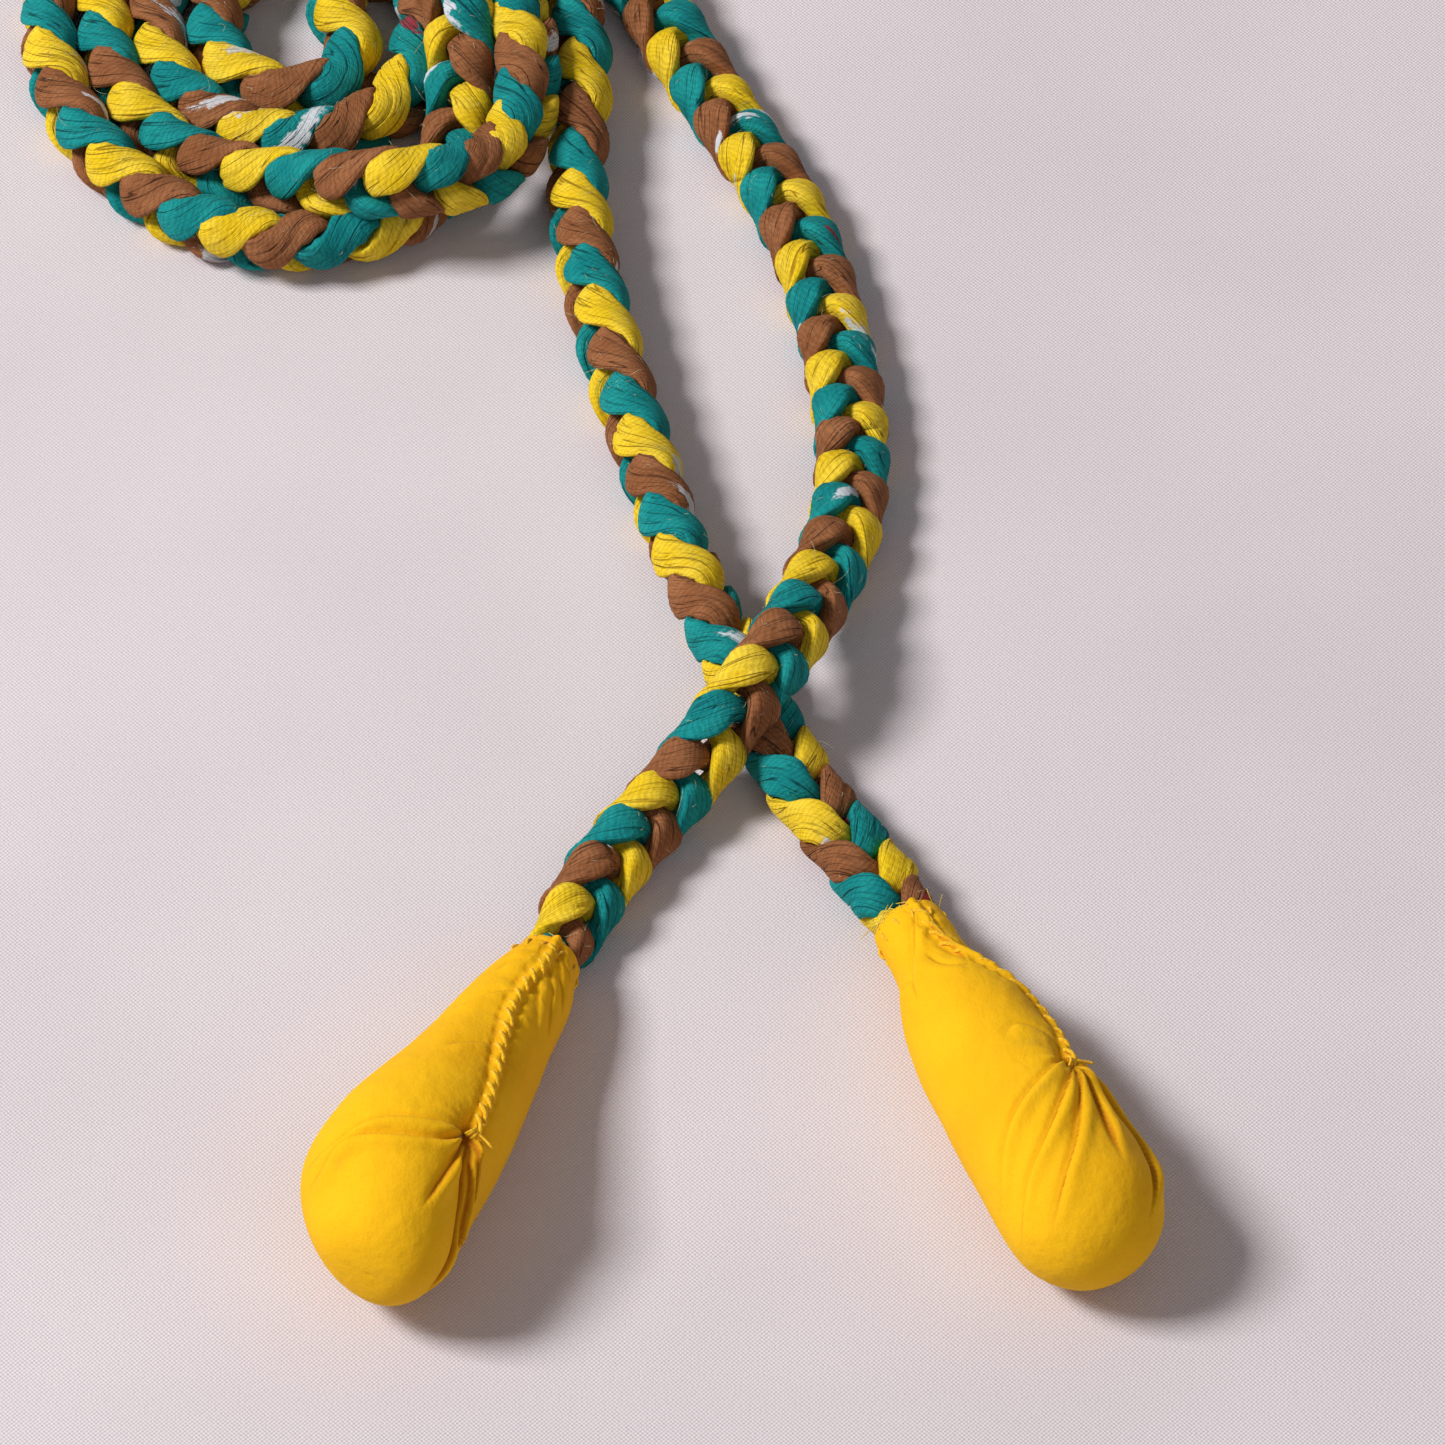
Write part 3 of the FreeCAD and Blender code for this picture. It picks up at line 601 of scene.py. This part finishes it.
def stray_fibres(points, per_mm, seed):
    """Short fibres that stand off a strand's surface, and now and then a longer loose thread."""
    random = np.random.default_rng(seed)
    centres = points.mean(axis=1)
    length_mm = np.linalg.norm(np.diff(centres, axis=0), axis=1).sum()
    steps = np.linspace(0, 1, 6)[:, None]
    lines = []
    for _ in range(round(length_mm * per_mm)):
        ring = random.integers(2, len(points) - 2)
        root = points[ring, random.integers(RING_POINTS)]
        outward = unit(root - centres[ring])
        along = unit(centres[ring + 1] - centres[ring - 1])
        run = unit(along * random.normal() + np.cross(outward, along) * random.normal())
        curl = np.cross(run, outward) * random.uniform(-0.7, 0.7) - outward * random.uniform(0.1, 0.5)
        reach = random.uniform(4, 9) if random.random() < 0.06 else random.uniform(0.8, 2.6)
        lines.append(root + reach * (steps * (0.5 * outward + 0.8 * run) + steps ** 2 * curl))
    return lines


# ---------------------------------------- the rope's pieces
def along_rope(place):
    return place if place >= 0 else ROPE_LENGTH + place


FIBRES_PER_MM = 0.45
FIBRE_RADIUS = 0.045

# name, first place, last place, bodies, the bend they meet at (or none) and the CAD nodes it stands for
ROPE_PIECES = [
    ("left_neck", 0, 62, ("left_handle", "left_leg_end"), "left_neck", ("left_tail", "left_leg_end")),
    ("left_leg_lower", 62, 129, ("left_leg_end", "left_leg_arch"), "left_swing", ("left_leg_arch",)),
    ("left_leg_arch", 129, 225, ("left_leg_arch", "left_leg_middle"), "arch", ("left_leg_middle",)),
    ("left_leg_middle", 225, 320, ("left_leg_middle", "left_leg_upper"), "middle", ("left_leg_upper",)),
    ("left_leg_upper", 320, 396, ("left_leg_upper", "coil"), "coil", ()),
    ("coil", 396, -116, ("coil",), None, ("coil",)),
    ("right_leg_lower", -116, -66, ("coil", "right_leg_end"), "right_swing", ("right_leg_end",)),
    ("right_neck", -66, 0, ("right_leg_end", "right_handle"), "right_neck", ("right_tail",)),
]


def follow_rope(piece, bodies, bend):
    if bend is None:
        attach(piece, bodies[0])
        return
    joint = along_rope(BENDS[bend])
    reach = BEND_REACH[bend]
    zone = middle(np.array([joint - reach, joint + reach])) * MM
    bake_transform(piece)


def add_rope_piece(name, start, end, bodies, bend, nodes):
    count = round((end - start) / RING_STEP)
    places = np.linspace(start, end, count + 1)
    fibres = []
    for strand, colour in enumerate(STRANDS):
        points, along, around = strand_rings(places, strand)
        piece = grid_mesh(f"{name}_{colour}_cloth", rest_on_table(points), colour)
        angle = around * 2 * math.pi
        add_vector_attribute(piece, "strand_place", np.stack([np.cos(angle), np.sin(angle), along], axis=-1))
        add_vector_attribute(piece, "print_marks", print_marks(strand, along, around))
        follow_rope(piece, bodies, bend)
        if nodes:
            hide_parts(*[f"{node}_{colour}_strand" for node in nodes])
        fibres += stray_fibres(points, FIBRES_PER_MM, 101 + strand)
    lint = add_threads(f"{name}_stray_fibres", fibres, FIBRE_RADIUS, "lint", sides=4)
    follow_rope(lint, bodies, bend)


# Print marks, scattered along each strand: mostly white, a few of them long
INKS = ("white", "crimson", "orange")
INK_SHARES = (0.8, 0.12, 0.08)
PRINT_COUNT = 72
PRINT_LENGTHS = (1.2, 6.7)       # half length of the smallest and of the largest


def print_marks(strand, along, around):
    """Fields for white, crimson and orange print; a mark's edge is where its field passes 0.5."""
    random = np.random.default_rng(81 + strand)
    smallest, largest = PRINT_LENGTHS
    marks = [
        (
            random.uniform(0, ROPE_LENGTH),
            random.uniform(0, 360),
            smallest + (largest - smallest) * random.uniform() ** 3,
            random.choice(INKS, p=INK_SHARES),
        )
        for _ in range(PRINT_COUNT)
    ]
    fields = np.zeros(along.shape + (3,))
    for place, degrees, length, ink in marks:
        rows = np.flatnonzero(np.abs(along[:, 0] - place) < 2 * length)
        if not len(rows):
            continue
        rows = slice(rows[0], rows[-1] + 1)
        turned = np.abs(np.mod(around[rows] - degrees / 360 + 0.5, 1) - 0.5)
        field = 1.0 - 0.5 * np.hypot((along[rows] - place) / length, turned * 45 / (0.55 * length + 1))
        channel = fields[rows, :, INKS.index(ink)]
        np.maximum(channel, field, out=channel)
    return fields


def add_rope():
    for name, start, end, bodies, bend, nodes in ROPE_PIECES:
        last = ROPE_LENGTH if end == 0 else along_rope(end)
        add_rope_piece(name, along_rope(start), last, bodies, bend, nodes)


add_rope()

# ---------------------------------------- handles
# mouth, bulb: their middles. bulb_place, bulb_length: where the rounded end starts, and how long it
# is. edge: the bag's raw edge, from the mouth. lean: how far the bulb's end is pushed over.
# flattened: depth of the dent at its side. profile: (distance from the mouth, radius) as far as the
# rounded end. seam: (distance, degrees round the handle, 0 straight up and positive to the left as
# the handle points forward). pleats, folds: (depth, line); a pleat starts at the gather.
HANDLES = {
    "left": {
        "mouth": (37, 80, 8.5), "bulb": (0, 0, 21.5),
        "bulb_place": 86, "bulb_radius": 22.2, "bulb_length": 30.5, "bulb_fullness": 0.66,
        "edge": 4.4, "neck": 8.0, "lean": (5, -3, 0), "flattened": 3.5,
        "profile": [
            (4.4, 7.8), (8, 8.7), (14, 10.4), (26, 12.7), (40, 14.6), (52, 16.6), (66, 19.6), (78, 21.8),
        ],
        "seam": [(4.4, 11), (12, 17), (26, 13), (38, 18), (48, 27), (60, 37), (78, 42)],
        "pleats": [
            (1.1, [(85, 11), (90, -14), (96, -35), (99, -54), (101, -72)]),
            (1.2, [(83, 36), (89, 22), (94, -7), (98, -32), (103, -51), (106, -75)]),
            (1.0, [(86, 41), (91, 42), (98, 41), (106, 36)]),
            (1.5, [(86, 46), (92, 63), (98, 78), (103, 92), (108, 105), (109, 130)]),
            (1.3, [(85, 47), (92, 68), (98, 85), (99, 111), (104, 134)]),
            (1.0, [(83, 47), (88, 64), (92, 80), (94, 101)]),
            (0.8, [(80, 48), (84, 63), (87, 80), (88, 96)]),
        ],
        "folds": [
            (0.35, [(7, 26), (10, 42), (15, 66)]),
            (0.45, [(11, 32), (15, 46), (20, 62), (24, 80)]),
            (0.35, [(16, 28), (21, 44), (29, 60), (35, 76)]),
            (0.3, [(22, 24), (28, 38), (37, 56)]),
            (0.4, [(8, -2), (12, -18), (18, -38)]),
            (0.5, [(15, 6), (18, -10), (24, -30)]),
            (0.4, [(30, 8), (33, -10), (38, -30), (40, -52)]),
            (0.4, [(50, 20), (53, 4), (58, -12)]),
        ],
    },
    "right": {
        "mouth": (121, 88, 9.1), "bulb": (162, -5, 18.8),
        "bulb_place": 102, "bulb_radius": 19.3, "bulb_length": 19.3, "bulb_fullness": 1,
        "edge": 2.4, "neck": 8.6, "lean": (0, 0, 0), "flattened": 0,
        "profile": [
            (2.4, 8.5), (5, 8.9), (10, 9.3), (19, 9.9), (27, 12.6), (38, 15.6), (50, 17.2), (70, 18.4),
            (92, 19.3),
        ],
        "seam": [(2.4, 9), (9, 12), (17, 15), (31, 40), (42, 62), (55, 60), (68, 48)],
        "pleats": [
            (0.9, [(70, 34), (74, 12), (80, -18), (87, -42), (95, -67), (98, -87), (101, -108)]),
            (1.0, [(71, 42), (85, 7), (95, -23), (100, -43), (105, -64), (109, -90)]),
            (0.9, [(73, 42), (87, 22), (101, -6), (110, -34), (114, -61)]),
            (1.2, [(74, 46), (83, 43), (94, 37), (106, 29)]),
            (1.5, [(72, 56), (80, 68), (93, 72), (108, 62), (118, 54)]),
            (0.9, [(68, 62), (74, 84), (84, 100), (95, 108)]),
        ],
        "folds": [
            (0.6, [(9, -4), (12, -12), (18, -29), (22, -40), (28, -46), (34, -48)]),
            (0.35, [(26, -45), (25, -62), (22, -80)]),
            (0.4, [(31, 13), (30, -1), (26, -13), (20, -20)]),
            (0.8, [(12, 16), (17, 17), (23, 21), (31, 17)]),
            (0.45, [(62, 44), (58, 30), (56, 14), (60, 0)]),
        ],
    },
}
GRID_STEP = 0.4
FOLD_WIDTH = 1.6                # from a pleat's edge to the crest of its fold
LEAN_START = 92                 # distance from the mouth at which the bulb starts to lean over
LEAN_LENGTH = 28
DIMPLE_DEPTH = 2.6              # where the cloth is drawn in at the gather
DIMPLE_RADIUS = 4.2
GATHER_RIDGES = 15              # round the gather
GATHER_REACH = 11
DENT_DEGREES = 95               # middle of the dent at the bulb's side
DENT_SPREAD = 38
DENT_PLACE = 86
DENT_LENGTH = 17
STUFFING_INSET = 4.4
STUFFING_RING_POINTS = 72
HEM_POINTS = 120
STITCHES = {"left": 17, "right": 14}
MOUTH_STITCHES = 9
MOUTH_STITCH_SPREAD = 130       # degrees either way from straight up
SEAM_THREAD = 0.55              # radii of the threads
MOUTH_THREAD = 0.36
GATHER_THREAD = 0.34
FRAYED_YARN = 0.12
FRAYED_YARNS = {"left": 14, "right": 46}


def fit_to_handle(piece, side, node):
    """Lets a piece ride on its handle and stand for a CAD node there."""
    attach(piece, f"{side}_handle")
    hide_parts(f"{side}_{node}")


def profile_curve(shape):
    """Outline of a handle as (place, radius) points a grid step apart, closed at the bulb's end."""
    places, radii = np.array(shape["profile"], float).T
    turns = np.radians(np.linspace(0, 90, 12))
    places = np.concatenate([places, shape["bulb_place"] + shape["bulb_length"] * np.sin(turns)])
    radii = np.concatenate([radii, shape["bulb_radius"] * np.cos(turns) ** shape["bulb_fullness"]])
    steps = np.concatenate([[0], np.cumsum(np.hypot(np.diff(places), np.diff(radii)))])
    fine = np.linspace(0, steps[-1], round(steps[-1] / GRID_STEP) + 1)
    return np.stack([spline(steps, places)(fine), np.maximum(spline(steps, radii)(fine), 0.02)], axis=-1)


def handle_axes(shape):
    mouth = np.array(shape["mouth"], float)
    forward = unit(np.array(shape["bulb"], float) - mouth)
    left = unit(np.cross([0, 0, 1], forward))
    return mouth, forward, left, np.cross(forward, left)


def handle_rings(shape, places, radii, count):
    """Rings round a handle's axis, the angles of their points and the way out at each angle."""
    mouth, forward, left, up = handle_axes(shape)
    angles = np.linspace(0, 2 * math.pi, count, endpoint=False)
    outward = up * np.cos(angles)[:, None] + left * np.sin(angles)[:, None]
    points = mouth + forward * places[:, None, None] + outward[None] * radii[:, None, None]
    return points, angles, outward


def on_handle(shape, places, degrees, lift=0.0):
    """Points on a handle's undented surface, raised by lift."""
    mouth, forward, left, up = handle_axes(shape)
    curve = profile_curve(shape)
    places = np.asarray(places, float)
    order = np.argsort(curve[:, 0])
    radius = np.interp(places, curve[order, 0], curve[order, 1]) + lift
    angle = np.radians(degrees)[..., None]
    outward = up * np.cos(angle) + left * np.sin(angle)
    return mouth + forward * places[..., None] + outward * radius[..., None]


def bulb_lean(shape, places):
    """Sideways shift of the bulb's end, for rings at the given places."""
    return smoothstep((places - LEAN_START) / LEAN_LENGTH)[:, None, None] * np.array(shape["lean"], float)


def solid_noise(seed, points, length):
    """Smooth noise from -1 to 1 in space, with features of a length."""
    random = np.random.default_rng(seed)
    grid = random.uniform(-1, 1, (64, 64, 64))
    scaled = points / length + 31.5
    low = np.floor(scaled).astype(int)
    share = smoothstep(scaled - low)
    total = np.zeros(points.shape[:-1])
    for corner in range(8):
        step = np.array([corner & 1, corner >> 1 & 1, corner >> 2])
        weight = np.where(step, share, 1 - share).prod(axis=-1)
        cell = (low + step) % 64
        total += weight * grid[cell[..., 0], cell[..., 1], cell[..., 2]]
    return total


def smooth_line(points, count):
    """Points evenly spaced on a smooth curve through the given ones."""
    points = np.asarray(points, float)
    knots = np.concatenate([[0], np.cumsum(np.linalg.norm(np.diff(points, axis=0), axis=1))])
    fine = np.linspace(0, knots[-1], count)
    return np.stack([spline(knots, points[:, i])(fine) for i in range(3)], axis=-1)


def near_line(points, normals, line):
    """Signed distance of each point from a line on the surface, and how far along the line it is."""
    shape = points.shape[:-1]
    flat = points.reshape(-1, 3)
    nearest = np.zeros(len(flat), int)
    closest = np.full(len(flat), np.inf)
    for i, place in enumerate(line):
        distance = ((flat - place) ** 2).sum(axis=1)
        better = distance < closest
        closest[better] = distance[better]
        nearest[better] = i
    ahead = unit(np.gradient(line, axis=0))[nearest]
    away = flat - line[nearest]
    beyond = np.abs((away * ahead).sum(axis=1))
    side = np.sign((np.cross(ahead, away) * normals.reshape(-1, 3)).sum(axis=1))
    distance = np.sqrt(np.maximum(closest, 0))
    at_end = (nearest == 0) | (nearest == len(line) - 1)
    distance = np.where(at_end, np.hypot(distance, beyond), distance)
    return (side * distance).reshape(shape), (nearest / (len(line) - 1)).reshape(shape)


def add_cover(side, shape):
    """Stuffed bag: seam ridge, gathered dimple, pleats that fan out over the bulb, and slack folds."""
    _, forward, _, _ = handle_axes(shape)
    curve = profile_curve(shape)
    places, radii = curve.T
    count = round(2 * math.pi * shape["bulb_radius"] / GRID_STEP)
    points, angles, outward = handle_rings(shape, places, radii, count)
    slope = np.gradient(curve, axis=0)
    slope = slope / np.hypot(*slope.T)[:, None]
    normals = outward[None] * slope[:, 0, None, None] - forward * slope[:, 1, None, None]

    lift = 0.55 * solid_noise(51, points, 17) + 0.22 * solid_noise(52, points, 8)
    shade = np.zeros(lift.shape)
    seam_places, seam_turns = np.array(shape["seam"], float).T
    fine = np.linspace(seam_places[0], seam_places[-1], 90)
    seam_line = on_handle(shape, fine, spline(seam_places, seam_turns)(fine))
    offset, along = near_line(points, normals, seam_line)
    beside = np.abs(offset)
    uneven = 0.35 * np.sin(along * 11) + 0.25 * np.sin(along * 29)
    stitches = np.cos((along * STITCHES[side] + uneven) * 2 * math.pi)
    lift += (0.8 + 0.3 * stitches) * np.exp(-(offset / 1.2) ** 2)
    lift -= (0.35 + 0.2 * stitches) * np.exp(-((beside - 2.1) / 0.9) ** 2)
    shade += 0.3 * np.exp(-((beside - 1.7) / 0.5) ** 2) * (0.6 + 0.4 * stitches)
    seam_mm = np.linalg.norm(np.diff(seam_line, axis=0), axis=1).sum()
    puckers = np.stack([along * seam_mm, np.sign(offset) * 3, np.zeros_like(along)], axis=-1)
    puckers = solid_noise(53, puckers, 3.4) + 0.5 * solid_noise(54, puckers, 1.9)
    near_mouth = np.exp(-np.maximum(places, 0) / 30)[:, None]
    pucker_band = smoothstep((beside - 0.8) / 1.6) * np.exp(-((beside - 2) / 5.5) ** 2)
    lift += (0.45 + 0.45 * near_mouth) * puckers * pucker_band

    gather = seam_line[-1]
    away = points - gather
    distance = np.linalg.norm(away, axis=-1)
    seam_end = unit(seam_line[-1] - seam_line[-4])
    across = unit(np.cross(seam_end, normals[np.unravel_index(distance.argmin(), distance.shape)]))
    bearing = np.arctan2(away @ across, away @ seam_end)
    fan = smoothstep(1.1 - np.abs(bearing) / 2.2)
    lift -= DIMPLE_DEPTH * np.exp(-(distance / DIMPLE_RADIUS) ** 2)
    ridges = np.cos(GATHER_RIDGES * bearing + 0.6) * np.exp(-(distance / GATHER_REACH) ** 2)
    lift += 0.55 * ridges * smoothstep(distance / 2.5) * fan
    shade += 0.5 * np.exp(-(distance / 2.0) ** 2)

    for deep, route in shape["pleats"] + shape["folds"]:
        knots = on_handle(shape, *np.array(route, float).T)
        if (deep, route) in shape["pleats"]:
            knots = np.vstack([gather, knots])
        offset, along = near_line(points, normals, smooth_line(knots, 90))
        fade = deep * smoothstep((1.0 - along) * 2.6) * (0.35 + 0.65 * smoothstep(along * 5))
        fold = 1.15 * np.exp(-((offset - FOLD_WIDTH) / (1.2 * FOLD_WIDTH)) ** 2)
        edge = 1.15 * math.exp(-(1 / 1.2) ** 2) * np.exp(-(offset / 0.4) ** 2)
        lift += fade * np.where(offset > 0, fold, edge - 0.75 * np.exp(-((offset + 0.8) / 1.0) ** 2))
        line = min(deep, 1) ** 1.5 * smoothstep((1.0 - along) * 4) * np.exp(-((offset + 0.25) / 0.4) ** 2)
        lift -= 0.4 * line
        shade += line

    degrees = np.degrees(np.arctan2(np.sin(angles), np.cos(angles)))
    dent_round = np.exp(-((degrees - DENT_DEGREES) / DENT_SPREAD) ** 2)
    dent_along = np.exp(-((places - DENT_PLACE) / DENT_LENGTH) ** 2)
    lift -= shape["flattened"] * dent_round * dent_along[:, None]
    points = points + normals * lift[..., None]
    points += bulb_lean(shape, places)
    cover = grid_mesh(f"{side}_handle_cover_cloth", rest_on_table(points), "handle", closed_ends=False)
    add_vector_attribute(cover, "fold_shade", np.repeat(np.clip(shade, 0, 1)[..., None], 3, axis=-1))
    fit_to_handle(cover, side, "handle_cover")
    return seam_line


# ---------------------------------------- stitches and hems
def add_seam_stitches(side, shape):
    """Thick whip stitches that slant over the seam ridge, so that they look like a twisted cord."""
    places, turns = np.array(shape["seam"], float).T
    turn_at = spline(places, turns)
    lines = []
    random = np.random.default_rng(61)
    for place in np.linspace(places[0] + 5, places[-1] - 2, STITCHES[side]):
        slant = random.uniform(1.3, 2.4)
        reach = random.uniform(1.3, 1.8)
        across = np.linspace(-reach, reach, 9)
        rise = 1.0 * (1 - (across / reach) ** 2) - 0.35
        spots = place + random.uniform(-0.4, 0.4) + slant * across / reach
        radius = np.interp(place, *zip(*shape["profile"]))
        degrees = turn_at(spots) + np.degrees(across / radius)
        lines.append([on_handle(shape, [a], [b], c)[0] for a, b, c in zip(spots, degrees, rise)])
    stitches = add_threads(f"{side}_seam_thread", lines, SEAM_THREAD, "thread")
    fit_to_handle(stitches, side, "seam_stitches")


def add_mouth_stitches(side, shape):
    """Stitches that tack the hem to the bag, a little uneven."""
    random = np.random.default_rng(62)
    lines = []
    for degree in np.linspace(-MOUTH_STITCH_SPREAD, MOUTH_STITCH_SPREAD, MOUTH_STITCHES):
        spots = shape["edge"] + np.linspace(2.2, 6.2, 7) + random.uniform(-0.5, 0.5)
        degrees = degree + np.linspace(0, random.uniform(-9, 9), 7)
        rise = 0.3 - 0.9 * np.linspace(-1, 1, 7) ** 2
        lines.append([on_handle(shape, [a], [b], c)[0] for a, b, c in zip(spots, degrees, rise)])
    stitches = add_threads(f"{side}_mouth_thread", lines, MOUTH_THREAD, "thread")
    fit_to_handle(stitches, side, "mouth_stitches")


def add_gather_knot(side, shape, gather):
    """Wraps of thread that hold the gathered cloth, with one loose end."""
    mouth, forward, _, _ = handle_axes(shape)
    outward = unit(gather - mouth - forward * (gather - mouth).dot(forward))
    sideways = np.cross(outward, forward)
    random = np.random.default_rng(63)
    lines = []
    base = gather - outward * 1.5
    for _ in range(5):
        turn = random.uniform(-0.7, 0.7)
        run = forward * math.cos(turn) + sideways * math.sin(turn)
        cross = np.linspace(-1, 1, 11)[:, None]
        shift = sideways * random.uniform(-0.7, 0.7)
        lines.append(base + run * cross * 2.2 + outward * (1.5 - 1.4 * cross ** 2) + shift)
    end = np.linspace(0, 1, 9)[:, None]
    lines.append(base + outward * (1.0 + 2.5 * end) + sideways * (5.5 * end) + forward * 1.5 * end ** 2)
    knot = add_threads(f"{side}_gather_thread", lines, GATHER_THREAD, "thread")
    fit_to_handle(knot, side, "gather_knot")


def add_hem(side, shape):
    """Turned-in edge of the bag round the rope, uneven where it was cut."""
    mouth, forward, left, up = handle_axes(shape)
    angles = np.linspace(0, 2 * math.pi, HEM_POINTS, endpoint=False)
    around = angles / (2 * math.pi)
    start = np.zeros(HEM_POINTS)
    edge = 0.9 * noise(71, start, around, 1, 9) + 0.5 * noise(72, start, around, 1, 23)
    ripple = 0.35 * noise(73, start, around, 1, 12)
    outer = shape["neck"] + 0.1 + ripple
    inner = shape["neck"] - 1.7 + ripple
    rings = [(7, outer - 0.5), (5, outer - 0.1), (3, outer), (1.4, outer), (0.5, outer - 0.15),
             (0.1, outer - 0.6), (0.2, inner + 0.4), (0.8, inner), (3.5, inner), (7, inner)]
    outward = up * np.cos(angles)[:, None] + left * np.sin(angles)[:, None]
    points = []
    for place, radius in rings:
        cut = edge * smoothstep(np.array(1 - place / 4))
        points.append(mouth + forward * (shape["edge"] + place + cut)[:, None] + outward * radius[:, None])
    points = rest_on_table(np.array(points))
    hem = grid_mesh(f"{side}_mouth_hem_cloth", points, "handle", closed_ends=False)
    add_vector_attribute(hem, "fold_shade", np.zeros((len(rings) * HEM_POINTS, 3)))
    fit_to_handle(hem, side, "mouth_hem")


def add_frayed_edge(side, shape):
    """Yarns that have come loose from the raw edge at the mouth."""
    mouth, forward, left, up = handle_axes(shape)
    random = np.random.default_rng(95)
    steps = np.linspace(0, 1, 8)[:, None]
    lines = []
    for _ in range(FRAYED_YARNS[side]):
        angle = math.radians(random.uniform(-120, 120))
        outward = up * math.cos(angle) + left * math.sin(angle)
        sideways = np.cross(forward, outward)
        reach = random.uniform(1, 2.5) if random.random() < 0.8 else random.uniform(5, 10)
        root = mouth + forward * (shape["edge"] + random.uniform(0.4, 2)) + outward * shape["neck"]
        run = -forward * random.uniform(0.3, 0.9) - outward * 0.2 + sideways * random.uniform(-0.8, 0.8)
        curl = outward * random.uniform(-0.3, 0.3) + sideways * random.uniform(-0.9, 0.9)
        lines.append(root + reach * (steps * run + steps ** 2 * curl))
    yarns = add_threads(f"{side}_frayed_edge", lines, FRAYED_YARN, "fray", sides=6)
    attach(yarns, f"{side}_handle")


def add_stuffing(side, shape):
    """Lumpy rag filling, a little inside the bag."""
    places, radii = profile_curve(shape)[::4].T
    inside = (places > shape["edge"] + 8) & (places < places.max() - 3)
    places, radii = places[inside], radii[inside] - STUFFING_INSET
    points, _, outward = handle_rings(shape, places, radii, STUFFING_RING_POINTS)
    points += outward[None] * 0.6 * solid_noise(91, points, 6)[..., None] + bulb_lean(shape, places)
    rag = grid_mesh(f"{side}_stuffing_rag", rest_on_table(points), "rag")
    fit_to_handle(rag, side, "handle_stuffing")


def add_handle(side):
    shape = HANDLES[side]
    seam_line = add_cover(side, shape)
    add_stuffing(side, shape)
    add_frayed_edge(side, shape)
    add_hem(side, shape)
    add_seam_stitches(side, shape)
    add_mouth_stitches(side, shape)
    add_gather_knot(side, shape, seam_line[-1])


add_handle("left")
add_handle("right")


# ---------------------------------------- inner CAD parts, hidden in the handles
def finish_inner_parts():
    for name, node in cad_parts.items():
        if node.hide_render:
            continue
        node.data.materials.clear()
        node.data.materials.append(MATERIALS["rag" if "stuffing" in name else "thread"])


finish_inner_parts()


# ---------------------------------------- table, light and camera
# Sizes here are in metres, the lens in millimetres and the elevation in degrees.
TABLE_SIZE = 8
CAMERA_LENS = 206.4
CAMERA_TARGET = (0.077, 0.156, 0)
CAMERA_ELEVATION = 52
CAMERA_DISTANCE = 2.071


def add_stage():
    bpy.ops.mesh.primitive_plane_add(size=TABLE_SIZE, location=(0, 0, 0))
    floor = bpy.context.active_object
    floor.name = "table"
    floor.data.materials.append(MATERIALS["table"])


def add_area_light(name, location, target, side, power, colour):
    light = bpy.data.lights.new(name, "AREA")
    light.shape = "SQUARE"
    light.size = side
    light.energy = power
    light.color = colour
    lamp = bpy.data.objects.new(name, light)
    lamp.location = location
    aim = Vector(target) - Vector(location)
    lamp.rotation_euler = aim.to_track_quat("-Z", "Y").to_euler()
    bpy.context.collection.objects.link(lamp)


def add_light():
    add_area_light(
        "window", location=(-2.5, 0.2, 2.75), target=(0.05, 0.15, 0), side=1.05, power=160,
        colour=(1.0, 0.985, 0.965),
    )
    add_area_light(
        "fill", location=(0.9, -1.6, 1.8), target=(0.05, 0.2, 0), side=1.8, power=8,
        colour=(1.0, 0.97, 0.97),
    )
    world = bpy.data.worlds.new("studio")
    world.use_nodes = True
    background = world.node_tree.nodes["Background"]
    background.inputs["Color"].default_value = (1.0, 0.965, 0.98, 1)
    background.inputs["Strength"].default_value = 0.2
    bpy.context.scene.world = world


def add_camera():
    camera = bpy.data.cameras.new("camera")
    camera.sensor_width = 36
    camera.lens = CAMERA_LENS
    thing = bpy.data.objects.new("camera", camera)
    elevation = math.radians(CAMERA_ELEVATION)
    back = Vector((0, -math.cos(elevation), math.sin(elevation)))
    thing.location = Vector(CAMERA_TARGET) + back * CAMERA_DISTANCE
    thing.rotation_euler = (math.pi / 2 - elevation, 0, 0)
    camera.clip_start = 0.05
    bpy.context.collection.objects.link(thing)
    bpy.context.scene.camera = thing


add_stage()
add_light()
add_camera()
bpy.context.scene.view_settings.view_transform = "Standard"
